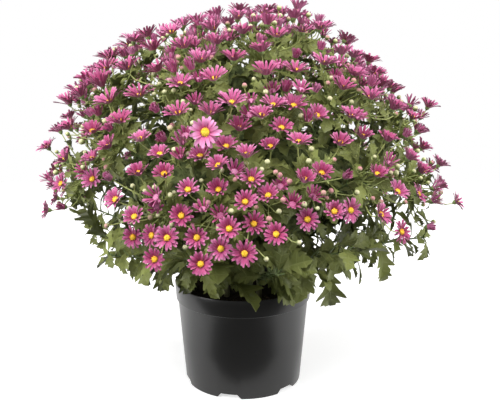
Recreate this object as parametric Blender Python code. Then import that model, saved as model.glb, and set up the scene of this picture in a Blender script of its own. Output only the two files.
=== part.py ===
"""A pot chrysanthemum in its plastic nursery pot: pot, soil, leafy cuttings and flower sprays.

Metres, +Z up. The origin is on the pot's axis, on the surface that the pot stands on, and the
front of the plant faces -Y.
"""

import itertools
import math

import bmesh
import bpy
import numpy as np
from mathutils import Euler, Vector
from mathutils.bvhtree import BVHTree
from mathutils.kdtree import KDTree

# Pot
RIM_RADIUS = 0.101
POT_HEIGHT = 0.152
FOOT_RADIUS = 0.0863
COLLAR_HEIGHT = 0.0255
COLLAR_STEP = 0.0028
COLLAR_TAPER = 0.0014
WALL = 0.0017
LIP_ROUND = 0.0012
FLOOR = 0.003
CHANNEL_HEIGHT = 0.006
CHANNEL_INNER = 0.046
CHANNEL_OUTER = 0.073
POT_SIDES = 32
NOTCHES = 6
NOTCH_HEIGHT = 0.007
NOTCH_BASE_WIDTH = 0.034
NOTCH_TOP_WIDTH = 0.024
FIRST_NOTCH_DEG = -103
NOTCH_TAPER = 1.25
DRAIN_RADIUS = 0.005

# Soil
SOIL_EDGE_HEIGHT = 0.136
SOIL_CROWN = 0.004
TOUCH = 0.0003

# Cuttings
CUTTING_RING = 0.046
OUTER_CUTTINGS = 6
BRANCHES_EACH = 5
TRUNK_RADIUS = 0.0042
TRUNK_FOOT = 0.106
TRUNK_TOP = 0.174
TRUNK_LEAN = 0.06
BRANCH_RADIUS = 0.0023
BRANCH_RISE = 0.075
BRANCH_DROP = 0.0045
BRANCH_STEP = 0.0057
BRANCH_OFFSET = 0.0007
STEM_CLEARANCE = 0.0025

SHOOT_HEIGHT = 0.158
SHOOT_REACH = (0.185, 0.232)
SHOOT_END = (0.212, 0.250)
SHOOT_ARCH = 0.020
LONG_SHOOT_REACH = 0.262

# Dome of flowers
DOME_CENTRE = Vector((0.0, 0.0, 0.272))
DOME_RADIUS = 0.2655
LOWEST_BLOOM_DEG = 1
CROWN_DEG = 32
BUMPS = (
    (Vector((-0.80, -0.10, 0.58)), 0.016, 0.42),
    (Vector((0.66, 0.05, 0.74)), -0.007, 0.35),
    (Vector((-0.16, 0.25, 0.95)), -0.023, 0.32),
    (Vector((0.33, 0.00, 0.94)), 0.018, 0.24),
    (Vector((1.00, 0.00, 0.10)), 0.012, 0.50),
)
RIPPLE = 0.005

# Blooms
OPEN_BLOOMS = 252
BLOOM_SPACING = 0.0385
SEEN_SPACING = 0.027
FIRST_SPACING = 0.031
SUNK = 0.011
SUNK_WITHIN = 0.031
SEEN_EASE = 0.25
PUSH_ROUNDS = 160
PUSH_SHARE = 0.3
BLOOM_RADIUS = 0.0183
BLOOM_PETALS = 5
NOTCH_SHARE = 0.56
DISC_RADIUS = 0.0050
CUP_DEGS = (8, 12, 17, 24)
CUP_SHARES = (0.3, 0.3, 0.25, 0.15)
CALYX_DEPTH = 0.0040
UPWARD_LOOK = (0.25, 0.95)
CALYX_RADIUS = 0.0020
DISC_RIM = 0.0015
DISC_TOP = 0.0035
SPRAY_DEPTH = 0.064
EVEN_SHARE = 0.02
BRANCH_LIFT = 0.25
BLOOM_LEAN = 0.1
SMALLEST_BLOOM = 0.92
SMALL_HEAD_TRIES = 90
SMALL_HEAD_SPREAD = 0.22
SMALL_HEAD_DROP = (0.002, 0.012)
SMALL_HEAD_ROOM = 0.006
SMALL_HEAD_LEAN = 0.3
AXIS_LENGTH = 0.013
AXIS_RADIUS = 0.0024
HUB_RADIUS = 0.0032
HALF_OPEN_EACH = 1
BUDS_EACH = 1
HALF_OPEN_RADIUS = 0.0112
HALF_OPEN_PETALS = 4
HALF_OPEN_CUP_DEG = 66
BUD_RADIUS = 0.0032
WIDEST_TURN_DEG = 58
HUB_TURNS = 30
SETTLE_ROUNDS = 24
NUDGE = 0.0008
TRIM = 0.988
SPRAY_REACH = 0.19

# Dark leafy mass in the middle of each cutting
CORE_REACH = 0.180
CORE_FLARE = 0.45
CORE_GAP = 0.005
CORE_LONGEST = 0.15
CORE_STEP = 0.004
CORE_TIPS = (0.88, 1.0)
CORE_DENTS = (0.52, 0.68)
CORE_FIRST_DENTS = 12
CORE_ROUNDS = 40
CORE_TRIM = 0.94
CROWN_CORE_HEIGHT = 0.120
SIDE_CORE_PLACE = (0.110, 0.034)
CORE_INNER = 0.03
LEAF_OUT_OF_CORE = 0.004

# The cone under the leafy mass
UNDERSIDE_HEIGHT = 0.156
UNDERSIDE_REACH = 0.092
UNDERSIDE_SLOPE = 0.62

# Leaves
SKIRT_LEAVES = 26
SHELL_LEAVES = 14
LEAF_TRIES = 140
LEAF_CLEARANCE = 0.0055
ROOT_SPACING = 0.005
STALK_IN_BRANCH = 0.3
LEAF_REACH = 0.262
HANGS = 0.034
RIGHT_HANG = 0.12
PETIOLE_RADIUS = 0.0011
PETIOLE_TAPER = (0.6, 1.3)
LEAF_THICKNESS = 0.0018
LEAF_WIDTH = 0.72
LEAF_MIDDLE = 0.45
LEAF_EDGE = ((0.74, 0.16), (0.46, 0.36), (1.0, 0.56), (0.44, 0.72))

# The viewpoint from which the places of the front blooms were read, and its picture's scale
EYE = Vector((0.0104, -1.04, 0.488))
EYE_PITCH = 0.205
FOCAL_PIXELS = 727
PICTURE_MIDDLE = (250, 200)
FRONT_BLOOM_PIXELS = (
    (210, 135), (231, 107), (226, 142), (222, 160), (247, 158), (219, 178), (252, 182),
    (251, 203), (230, 232), (254, 222), (221, 252), (240, 253), (205, 261), (273, 233),
    (136, 221), (133, 238), (165, 238), (153, 254), (178, 217), (139, 174), (162, 170),
    (155, 155), (143, 142), (109, 147), (93, 132), (120, 119), (178, 114), (256, 117),
    (239, 128), (272, 145), (298, 142), (281, 121), (312, 113), (340, 144), (351, 117),
    (369, 134), (387, 140), (306, 180), (324, 173), (265, 196), (334, 212), (356, 211),
    (311, 221), (377, 175), (397, 192), (421, 172), (425, 194), (401, 232), (145, 240),
    (210, 113), (272, 110), (297, 104), (201, 150), (92, 160), (66, 160), (62, 184),
    (48, 148), (48, 210), (70, 128), (408, 158), (440, 168), (446, 182), (455, 190),
    (428, 107), (432, 152), (412, 118), (392, 108), (295, 9), (318, 28), (369, 62),
    (85, 178), (185, 190), (116, 200), (380, 215), (195, 240),
)
FRONT_TOP_PIXEL = 106

# Large leaves at the lower edge of the picture: the pixels of foot and tip, and how far they hang
# in front of the pot's axis
SEEN_LEAVES = (
    ((328, 266), (332, 317), 0.113), ((349, 262), (351, 291), 0.075), ((363, 264), (358, 290), 0.038),
    ((382, 260), (386, 287), 0.054), ((400, 256), (404, 281), 0.050), ((426, 222), (424, 246), 0.055),
    ((75, 224), (79, 246), 0.050), ((94, 232), (107, 266), 0.036), ((132, 256), (138, 273), 0.062),
    ((156, 268), (165, 297), 0.104), ((181, 276), (189, 300), 0.100), ((218, 268), (221, 293), 0.116),
    ((296, 270), (292, 290), 0.106),
)
SEEN_LEAF_ROOM = 0.006
SEEN_LEAF_LEAN = 0.4
ROOT_STEPS = 12

UP = Vector((0, 0, 1))


def unit(vector):
    return vector.normalized()


def around(axis):
    """Two directions square to an axis and to each other."""
    side = axis.cross(UP if abs(axis.z) < 0.9 else Vector((1, 0, 0))).normalized()
    return side, axis.cross(side).normalized()


def ring(centre, axis, radius, count, turn=0.0):
    """Points on a circle, anticlockwise round the axis."""
    side, other = around(axis)
    angles = [turn + 2 * math.pi * i / count for i in range(count)]
    return [centre + radius * (side * math.cos(a) + other * math.sin(a)) for a in angles]


def bridge(first, second):
    """Triangles between two rings of point numbers, which may have different counts."""
    faces = []
    i = j = 0
    while i < len(first) or j < len(second):
        here, there = first[i % len(first)], second[j % len(second)]
        nearer = (i + 0.5) / len(first) <= (j + 0.5) / len(second)
        if j == len(second) or (i < len(first) and nearer):
            i += 1
            faces.append((here, first[i % len(first)], there))
        else:
            j += 1
            faces.append((here, second[j % len(second)], there))
    return faces


def lofted(rings, slots, apex=None):
    """A closed shape through rings of points, each stretch with its material slot."""
    points, faces, marks, numbered = [], [], [], []
    for one in rings:
        numbered.append(range(len(points), len(points) + len(one)))
        points += one
    faces += [(0, i + 1, i) for i in range(1, len(rings[0]) - 1)]
    marks += [slots[0]] * len(faces)
    for k in range(len(rings) - 1):
        stretch = bridge(numbered[k], numbered[k + 1])
        faces += stretch
        marks += [slots[k]] * len(stretch)
    last = list(numbered[-1])
    if apex is None:
        lid = [(last[0], last[i], last[i + 1]) for i in range(1, len(last) - 1)]
    else:
        points.append(apex)
        lid = [(last[i - 1], last[i], len(points) - 1) for i in range(len(last))]
    return points, faces + lid, marks + [slots[-1]] * len(lid)


def tube(path, radii, sides, slot=0, end_axis=None):
    """A round rod along a path, with its ends closed and no twist."""
    rings = []
    start = unit(path[1] - path[0])
    side = around(start)[0]
    for k, point in enumerate(path):
        before, after = path[max(k - 1, 0)], path[min(k + 1, len(path) - 1)]
        axis = end_axis if end_axis and k == len(path) - 1 else unit(after - before)
        side = unit(side - axis * side.dot(axis))
        other = axis.cross(side)
        angles = [2 * math.pi * i / sides for i in range(sides)]
        rings.append([point + radii[k] * (side * math.cos(a) + other * math.sin(a)) for a in angles])
    return lofted(rings, [slot] * len(rings))


def material(name, colour, roughness):
    made = bpy.data.materials.new(name)
    made.use_nodes = True
    shader = made.node_tree.nodes["Principled BSDF"]
    shader.inputs["Base Color"].default_value = (*colour, 1)
    shader.inputs["Roughness"].default_value = roughness
    made.diffuse_color = (*colour, 1)
    return made


def new_object(name, shape, materials):
    points, faces, marks = shape
    mesh = bpy.data.meshes.new(name)
    mesh.from_pydata(points, [], faces)
    for one in materials:
        mesh.materials.append(one)
    mesh.polygons.foreach_set("material_index", marks)
    made = bpy.data.objects.new(name, mesh)
    bpy.context.scene.collection.objects.link(made)
    return made


def fused(name, shapes, materials):
    """One solid from closed shapes that overlap, by one Boolean union on a collection."""
    body = new_object(name, shapes[0], materials)
    repeats = bpy.data.collections.new(name + "_repeats")
    bpy.context.scene.collection.children.link(repeats)
    for k, shape in enumerate(shapes[1:]):
        piece = new_object(f"{name}_piece_{k}", shape, materials)
        bpy.context.scene.collection.objects.unlink(piece)
        repeats.objects.link(piece)
    join = body.modifiers.new("join", "BOOLEAN")
    join.operation = "UNION"
    join.operand_type = "COLLECTION"
    join.collection = repeats
    join.solver = "MANIFOLD"
    bpy.context.view_layer.objects.active = body
    bpy.ops.object.modifier_apply(modifier=join.name)
    for piece in list(repeats.objects):
        bpy.data.objects.remove(piece)
    bpy.data.collections.remove(repeats)
    keep_largest(body)
    return body


def keep_largest(body):
    """Fills the hollows that a union seals and drops its loose scraps."""
    shape = bmesh.new()
    shape.from_mesh(body.data)
    left, islands = set(shape.verts), []
    while left:
        edge_of_search = [left.pop()]
        island = list(edge_of_search)
        while edge_of_search:
            here = edge_of_search.pop()
            fresh = {edge.other_vert(here) for edge in here.link_edges} & left
            left -= fresh
            island += fresh
            edge_of_search += fresh
        islands.append(island)
    islands.sort(key=len)
    loose = [corner for island in islands[:-1] for corner in island]
    bmesh.ops.delete(shape, geom=loose, context="VERTS")
    shape.to_mesh(body.data)
    shape.free()


def turned(name, profile, finish):
    """A round piece turned from a profile of (radius, height) points, with a Screw."""
    mesh = bpy.data.meshes.new(name)
    edges = [(i, i + 1) for i in range(len(profile) - 1)]
    mesh.from_pydata([(radius, 0, height) for radius, height in profile], edges, [])
    mesh.materials.append(finish)
    made = bpy.data.objects.new(name, mesh)
    bpy.context.scene.collection.objects.link(made)
    screw = made.modifiers.new("turn", "SCREW")
    screw.steps = screw.render_steps = POT_SIDES
    screw.use_merge_vertices = True
    screw.merge_threshold = 0.00001
    return made


def cutter(name, shape, target):
    """A helper that a Boolean takes away from a piece."""
    tool = new_object(name, shape, [])
    tool.hide_render = True
    tool.display_type = "WIRE"
    cut = target.modifiers.new(name, "BOOLEAN")
    cut.operation = "DIFFERENCE"
    cut.object = tool
    return tool


def finish_round(made):
    """Applies a turned piece's modifiers and shades it smooth, with its edges kept."""
    bpy.context.view_layer.objects.active = made
    for modifier in list(made.modifiers):
        bpy.ops.object.modifier_apply(modifier=modifier.name)
    made.data.shade_smooth()
    made.data.set_sharp_from_angle(angle=math.radians(35))


def wall_radius(height):
    """The pot's outer wall, under its collar."""
    under_collar = POT_HEIGHT - COLLAR_HEIGHT
    widest = RIM_RADIUS - COLLAR_STEP - COLLAR_TAPER
    return FOOT_RADIUS + (widest - FOOT_RADIUS) * height / under_collar


def make_pot(finish):
    collar_foot = POT_HEIGHT - COLLAR_HEIGHT
    collar_radius = RIM_RADIUS - COLLAR_TAPER
    inner_foot = wall_radius(0) - WALL
    inner_top = wall_radius(collar_foot) - WALL
    floor_top = CHANNEL_HEIGHT + FLOOR
    slope = 0.002
    profile = [
        (0, FLOOR),
        (CHANNEL_INNER - 2 * slope, FLOOR),
        (CHANNEL_INNER, floor_top),
        (inner_foot, floor_top),
        (inner_top, collar_foot - 0.001),
        (inner_top + COLLAR_STEP, collar_foot + 0.002),
        (RIM_RADIUS - WALL - LIP_ROUND / 2, POT_HEIGHT - LIP_ROUND),
        (RIM_RADIUS - WALL / 2, POT_HEIGHT),
        (RIM_RADIUS, POT_HEIGHT - LIP_ROUND),
        (collar_radius, collar_foot + 0.0012),
        (collar_radius - 0.0012, collar_foot),
        (wall_radius(collar_foot), collar_foot - 0.0006),
        (FOOT_RADIUS, 0.0015),
        (FOOT_RADIUS - 0.0015, 0),
        (CHANNEL_OUTER + slope, 0),
        (CHANNEL_OUTER, CHANNEL_HEIGHT),
        (CHANNEL_INNER + slope, CHANNEL_HEIGHT),
        (CHANNEL_INNER, 0),
        (0, 0),
    ]
    pot = turned("pot", profile, finish)
    tools = []
    for k in range(NOTCHES):
        angle = math.radians(FIRST_NOTCH_DEG) + 2 * math.pi * k / NOTCHES
        out = Vector((math.cos(angle), math.sin(angle), 0))
        across = Vector((-out.y, out.x, 0))
        widths = ((-0.004, NOTCH_TAPER * NOTCH_BASE_WIDTH), (NOTCH_HEIGHT, NOTCH_TOP_WIDTH))
        corners = [
            [out * reach + across * (half * width / 2) + UP * height for height, width in widths]
            for reach, half in ((0.065, -1), (0.065, 1), (0.105, 1), (0.105, -1))
        ]
        low = [pair[0] for pair in corners]
        high = [pair[1] for pair in corners]
        tools.append(cutter(f"notch_{k}", lofted([low[::-1], high[::-1]], [0, 0]), pot))
        middle = (CHANNEL_INNER + CHANNEL_OUTER) / 2
        if k % 2 == 0:
            path = [out * middle - UP * 0.01, out * middle + UP * 0.03]
            tools.append(cutter(f"drain_{k}", tube(path, [DRAIN_RADIUS] * 2, 6), pot))
    finish_round(pot)
    for tool in tools:
        bpy.data.objects.remove(tool)


def cutting_spots():
    """Where each cutting stands in the soil."""
    spots = [Vector((0, 0, 0))]
    for k in range(OUTER_CUTTINGS):
        angle = 2 * math.pi * k / OUTER_CUTTINGS
        spots.append(CUTTING_RING * Vector((math.cos(angle), math.sin(angle), 0)))
    return spots


def make_soil(finish):
    floor_top = CHANNEL_HEIGHT + FLOOR
    collar_foot = POT_HEIGHT - COLLAR_HEIGHT
    inner_top = wall_radius(collar_foot) - WALL
    profile = [
        (0, SOIL_EDGE_HEIGHT + SOIL_CROWN),
        (inner_top - TOUCH, SOIL_EDGE_HEIGHT),
        (inner_top - TOUCH, collar_foot - 0.001),
        (wall_radius(0) - WALL - TOUCH, floor_top + TOUCH),
        (CHANNEL_INNER - TOUCH, floor_top + TOUCH),
        (CHANNEL_INNER - 0.004 - TOUCH, FLOOR + TOUCH),
        (0, FLOOR + TOUCH),
    ]
    soil = turned("soil", profile, finish)
    tools = []
    for k, spot in enumerate(cutting_spots()):
        path = [spot + UP * (TRUNK_FOOT - TOUCH), spot + UP * 0.2]
        radius = TRUNK_RADIUS + 2 * TOUCH
        tools.append(cutter(f"hole_{k}", tube(path, [radius] * 2, 5), soil))
    finish_round(soil)
    for tool in tools:
        bpy.data.objects.remove(tool)


def dome_point(direction):
    """The flowers' surface in a direction from the middle of the dome."""
    radius = DOME_RADIUS
    for middle, height, spread in BUMPS:
        radius += height * math.exp(-((direction.angle(middle) / spread) ** 2))
    radius += RIPPLE * math.sin(9 * direction.x + 2) * math.sin(8 * direction.z + 5 * direction.y)
    return DOME_CENTRE + radius * direction


def sight_axes():
    """The directions to the right, up and ahead in the picture."""
    over = Vector((0, math.sin(EYE_PITCH), math.cos(EYE_PITCH)))
    ahead = Vector((0, math.cos(EYE_PITCH), -math.sin(EYE_PITCH)))
    return Vector((1, 0, 0)), over, ahead


def sight_line(pixel):
    """The direction in which a pixel is seen."""
    across, over, ahead = sight_axes()
    right = (pixel[0] - PICTURE_MIDDLE[0]) / FOCAL_PIXELS
    above = (PICTURE_MIDDLE[1] - pixel[1]) / FOCAL_PIXELS
    return unit(ahead + right * across + above * over)


def seen_place(pixel):
    """Where the line of sight through a pixel meets the dome, or passes it most closely."""
    sight = sight_line(pixel)
    nearest = EYE + sight * sight.dot(DOME_CENTRE - EYE)
    off = (nearest - DOME_CENTRE).length
    place = nearest
    for _ in range(4):
        radius = (dome_point(unit(place - DOME_CENTRE)) - DOME_CENTRE).length
        place = nearest - sight * math.sqrt(max(radius**2 - off**2, 0.0))
    return place


def seen_from_front(place):
    """Whether a place on the dome is in the part of the picture whose blooms were all read."""
    across, over, ahead = sight_axes()
    depth = (place - EYE).dot(ahead)
    row = PICTURE_MIDDLE[1] - FOCAL_PIXELS * (place - EYE).dot(over) / depth
    outward = unit(place - DOME_CENTRE).dot(unit(EYE - place))
    return row > FRONT_TOP_PIXEL and outward > -0.05


def bloom_places():
    """Middles of the open blooms: those read from the front, and the rest spread evenly."""
    random = np.random.default_rng(11)
    seen = [seen_place(pixel) for pixel in FRONT_BLOOM_PIXELS]
    found = [unit(place - DOME_CENTRE) for place in seen]
    beyond = [(place - dome_point(way)).length for place, way in zip(seen, found)]
    lowest = math.sin(math.radians(LOWEST_BLOOM_DEG))
    while len(found) < OPEN_BLOOMS:
        height = random.uniform(lowest, 1)
        angle = random.uniform(0, 2 * math.pi)
        flat = math.sqrt(1 - height * height)
        fresh = Vector((flat * math.cos(angle), flat * math.sin(angle), height))
        near = min((fresh - other).length for other in found) * DOME_RADIUS
        if near > FIRST_SPACING and not seen_from_front(dome_point(fresh)):
            found.append(fresh)
    found = pushed_apart(found, len(seen), lowest)
    places = [dome_point(way) for way in found]
    for k, extra in enumerate(beyond):
        places[k] += found[k] * extra
    return sunk_where_close(places)


def pushed_apart(directions, held, lowest):
    """The directions after those that are too close have moved apart, the first ones least."""
    spots = np.array(directions)
    first = np.arange(len(spots)) < held
    ease = np.where(first, SEEN_EASE, 1.0)[:, None]
    both = first[:, None] & first[None]
    wanted = np.where(both, SEEN_SPACING, BLOOM_SPACING) / DOME_RADIUS
    for _ in range(PUSH_ROUNDS):
        gaps = spots[:, None] - spots[None]
        away = np.linalg.norm(gaps, axis=2) + np.eye(len(spots))
        push = np.clip(wanted - away, 0, None) * (1 - np.eye(len(spots)))
        spots += ease * PUSH_SHARE * (gaps / away[:, :, None] * push[:, :, None]).sum(axis=1)
        spots[~first, 2] = np.maximum(spots[~first, 2], lowest)
        spots /= np.linalg.norm(spots, axis=1)[:, None]
    return [Vector(spot) for spot in spots]


def sunk_where_close(places):
    """The places with every other one of a crowded patch set a little deeper."""
    settled = []
    for place in places:
        close = [deep for other, deep in settled if (place - other).length < SUNK_WITHIN]
        deep = bool(close) and not all(close)
        settled.append((place, deep))
    return [p - unit(p - DOME_CENTRE) * SUNK if deep else p for p, deep in settled]


def grouped(directions, count):
    """Splits directions into groups of much the same size, round well-spread middles."""
    spots = np.array(directions)
    middles = [spots[np.argmax(spots @ spots.mean(axis=0))]]
    while len(middles) < count:
        nearest = np.min([np.linalg.norm(spots - m, axis=1) for m in middles], axis=0)
        middles.append(spots[np.argmax(nearest)])
    middles = np.array(middles)
    crowding = np.zeros(count)
    for _ in range(30):
        owner = np.argmax(spots @ middles.T - crowding, axis=1)
        sizes = np.bincount(owner, minlength=count)
        crowding += EVEN_SHARE * (sizes / sizes.mean() - 1)
        for k in range(count):
            if (owner == k).any():
                middles[k] = spots[owner == k].mean(axis=0)
                middles[k] /= np.linalg.norm(middles[k])
    return [[i for i in range(len(spots)) if owner[i] == k] for k in range(count)]


def cutting_of(direction):
    """The number of the cutting that carries a bloom: the middle one has the crown."""
    if direction.z > math.cos(math.radians(CROWN_DEG)):
        return 0
    turn = math.atan2(direction.y, direction.x) % (2 * math.pi)
    return 1 + int(turn / (2 * math.pi) * OUTER_CUTTINGS + 0.5) % OUTER_CUTTINGS


def facing(direction, lean):
    """The way a bloom looks: outwards and up, the higher ones most."""
    low, high = UPWARD_LOOK
    return unit(direction + (low + high * max(direction.z, 0)) * UP + lean)


def lay_out():
    """All sprays, as dictionaries with their foot, their way out and their flower heads."""
    random = np.random.default_rng(23)
    blooms = []
    for place in bloom_places():
        direction = unit(place - DOME_CENTRE)
        blooms.append({
            "centre": place,
            "facing": facing(direction, Vector(random.uniform(-BLOOM_LEAN, BLOOM_LEAN, 3))),
            "radius": BLOOM_RADIUS * random.uniform(SMALLEST_BLOOM, 1),
            "cup": math.radians(float(random.choice(CUP_DEGS, p=CUP_SHARES))),
            "direction": direction,
        })
    sprays = []
    for cutting in range(OUTER_CUTTINGS + 1):
        members = [b for b in blooms if cutting_of(b["direction"]) == cutting]
        groups = grouped([b["direction"] for b in members], BRANCHES_EACH)
        for number, group in enumerate(groups):
            own = [members[k] for k in group]
            middle = unit(sum((b["direction"] for b in own), Vector()))
            surface = (dome_point(middle) - DOME_CENTRE).length
            base = DOME_CENTRE + middle * (surface - SPRAY_DEPTH)
            out = unit(middle + BRANCH_LIFT * UP)
            sprays.append({
                "cutting": cutting,
                "base": base,
                "out": out,
                "hub": base + out * AXIS_LENGTH,
                "path": branch_path(cutting, number, base, out),
                "blooms": own,
                "half_open": [],
                "buds": [],
                "leaves": [],
            })
    add_small_heads(sprays, random)
    settle(sprays)
    return sprays


def add_small_heads(sprays, random):
    """Half-open blooms and buds for each spray, in the gaps that its open blooms leave."""
    taken = [b["centre"] for s in sprays for b in s["blooms"]]
    plan = (("half_open", HALF_OPEN_EACH, HALF_OPEN_RADIUS), ("buds", BUDS_EACH, BUD_RADIUS))
    for kind, count, radius in plan:
        for spray in sprays:
            middle = unit(spray["base"] - DOME_CENTRE)
            choices = []
            for _ in range(SMALL_HEAD_TRIES):
                direction = unit(middle + Vector(random.uniform(-SMALL_HEAD_SPREAD, SMALL_HEAD_SPREAD, 3)))
                drop = random.uniform(*SMALL_HEAD_DROP)
                spot = dome_point(direction) - direction * drop
                choices.append((min((spot - other).length for other in taken), direction, spot))
            choices.sort(key=lambda choice: -choice[0])
            while choices and len(spray[kind]) < count:
                room, direction, spot = choices.pop(0)
                if any((spot - other).length < 2.2 * radius + SMALL_HEAD_ROOM for other in taken):
                    continue
                taken.append(spot)
                lean = Vector(random.uniform(-SMALL_HEAD_LEAN, SMALL_HEAD_LEAN, 3))
                spray[kind].append({
                    "centre": spot,
                    "facing": facing(direction, lean),
                    "radius": radius,
                    "cup": math.radians(HALF_OPEN_CUP_DEG),
                })


def hub_shape(middle, turn):
    """The knot that a spray's stalks fork from: a turned icosahedron, as points and faces."""
    golden = (1 + math.sqrt(5)) / 2
    corners = []
    for a in (-1, 1):
        for b in (-golden, golden):
            corners += [Vector((0, a, b)), Vector((a, b, 0)), Vector((b, 0, a))]
    corners = [turn @ corner for corner in corners]
    points = [middle + unit(corner) * HUB_RADIUS for corner in corners]
    faces = []
    for i, j, k in itertools.combinations(range(12), 3):
        sides = [(corners[p] - corners[q]).length for p, q in ((i, j), (j, k), (i, k))]
        if max(sides) < 2.1:
            normal = (corners[j] - corners[i]).cross(corners[k] - corners[i])
            faces.append((i, j, k) if normal.dot(corners[i]) > 0 else (i, k, j))
    return points, faces


def share_faces(points, faces, tips):
    """Gives each tip the hub's face that looks most towards it, the best matches first."""
    middle = sum(points, Vector()) / len(points)
    looks = []
    for i, face in enumerate(faces):
        out = unit(sum((points[k] for k in face), Vector()) / 3 - middle)
        looks += [(-out.dot(unit(tip - middle)), i, k) for k, tip in enumerate(tips)]
    given = {}
    for _, i, k in sorted(looks):
        if k not in given and i not in given.values():
            given[k] = i
    starts = [list(faces[given[k]]) for k in range(len(tips))]
    free = [face for i, face in enumerate(faces) if i not in given.values()]
    return starts, free


def grow(points, faces, marks, start, rings, slots, apex=None):
    """Extends a shape from a ring of its points through more rings, to an apex or a lid."""
    last = start
    for fresh, slot in zip(rings, slots):
        numbers = list(range(len(points), len(points) + len(fresh)))
        points += fresh
        stretch = bridge(last, numbers)
        faces += stretch
        marks += [slot] * len(stretch)
        last = numbers
    if apex is None:
        lid = [(last[0], last[i], last[i + 1]) for i in range(1, len(last) - 1)]
    else:
        points.append(apex)
        lid = [(last[i - 1], last[i], len(points) - 1) for i in range(len(last))]
    faces += lid
    marks += [slots[-1]] * len(lid)


def face_turn(points, face, axis):
    """The angle round the axis at which a face's first corner lies from its middle."""
    side, other = around(axis)
    lever = points[face[0]] - sum((points[k] for k in face), Vector()) / len(face)
    return math.atan2(lever.dot(other), lever.dot(side))


def petal_outline(head, petals, notch_share, turn):
    """The star of petal tips and the notches between them, raised into a cup."""
    side, other = around(head["facing"])
    outline = []
    for k in range(2 * petals):
        angle = turn + math.pi * k / petals
        reach = head["radius"] * (1.0 if k % 2 == 0 else notch_share)
        flat, rise = reach * math.cos(head["cup"]), reach * math.sin(head["cup"])
        across = side * math.cos(angle) + other * math.sin(angle)
        outline.append(head["centre"] + across * flat + head["facing"] * rise)
    return outline


def add_open_bloom(shape, start, bloom):
    """A star of petals with a raised disc, on the stalk that starts at a face of the hub."""
    centre, out = bloom["centre"], bloom["facing"]
    calyx = centre - out * CALYX_DEPTH
    lift = DISC_RADIUS * math.tan(bloom["cup"]) / 2
    turn = face_turn(shape[0], start, out)
    rings = [
        ring(calyx, out, CALYX_RADIUS, 3, turn),
        petal_outline(bloom, BLOOM_PETALS, NOTCH_SHARE, turn),
        ring(centre + out * (lift + DISC_RIM), out, DISC_RADIUS, 3, turn),
    ]
    apex = centre + out * (lift + DISC_TOP)
    grow(*shape, start, rings, [GREEN, PETAL, PETAL, DISC], apex)


def add_half_open(shape, start, head):
    """A brush of upright petals that hasn't opened yet."""
    centre, out = head["centre"], head["facing"]
    calyx = centre - out * CALYX_DEPTH
    turn = face_turn(shape[0], start, out)
    rings = [
        ring(calyx, out, CALYX_RADIUS, 3, turn),
        petal_outline(head, HALF_OPEN_PETALS, 0.6, turn),
    ]
    grow(*shape, start, rings, [GREEN, PETAL], centre + out * DISC_TOP)


def add_bud(shape, start, head):
    """A round bud that ends a stalk."""
    centre, out = head["centre"], head["facing"]
    foot = centre - out * BUD_RADIUS * 0.8
    turn = face_turn(shape[0], start, out)
    rings = [
        ring(foot, out, BUD_RADIUS * 0.45, 3, turn),
        ring(centre, out, BUD_RADIUS, 4, turn),
    ]
    grow(*shape, start, rings, [GREEN, GREEN], centre + out * BUD_RADIUS)


def head_kinds():
    return (("blooms", add_open_bloom), ("half_open", add_half_open), ("buds", add_bud))


def spray_shape(spray, turn):
    """A spray with its hub turned one way, and the flower head that each face belongs to."""
    foot = spray["base"] + spray["out"] * TOUCH
    points, faces = hub_shape(spray["hub"], turn)
    heads = [(add, head) for kind, add in head_kinds() for head in spray[kind]]
    starts, free = share_faces(points, faces, [foot] + [head["centre"] for _, head in heads])
    shape = (points, free, [GREEN] * len(free))
    end = ring(foot, -spray["out"], AXIS_RADIUS, 3, face_turn(points, starts[0], -spray["out"]))
    grow(*shape, starts[0], [end], [GREEN])
    owners = [None] * len(free)
    for start, (add, head) in zip(starts[1:], heads):
        add(shape, start, head)
        owners += [head] * (len(free) - len(owners))
    return shape, owners


def crossing_heads(one, other):
    """Pairs of flower heads that cross, in one spray or in two. A hub or an axis is None."""
    found = []
    for a, b in one["tree"].overlap(other["tree"]):
        corners, others = one["shape"][1][a], other["shape"][1][b]
        if one is not other or (a < b and not set(corners) & set(others)):
            found.append((one["owners"][a], other["owners"][b]))
    return found


def best_turned(spray, random):
    """A spray's shape, with its hub turned so that few of its stalks cross."""
    best = None
    for _ in range(HUB_TURNS):
        turn = Euler(random.uniform(-math.pi, math.pi, 3)).to_matrix()
        shape, owners = spray_shape(spray, turn)
        one = {"shape": shape, "owners": owners, "hub": spray["hub"]}
        one["tree"] = BVHTree.FromPolygons(shape[0], shape[1])
        one["crossing"] = crossing_heads(one, one)
        if best is None or len(one["crossing"]) < len(best["crossing"]):
            best = one
        if not best["crossing"]:
            break
    return best


def hold_back(head, share):
    """Turns a flower head part of the way towards the line of its stalk."""
    stalk = unit(head["centre"] - head["hub"])
    head["facing"] = unit(head["facing"].lerp(stalk, share))
    return head["facing"].angle(stalk)


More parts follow.
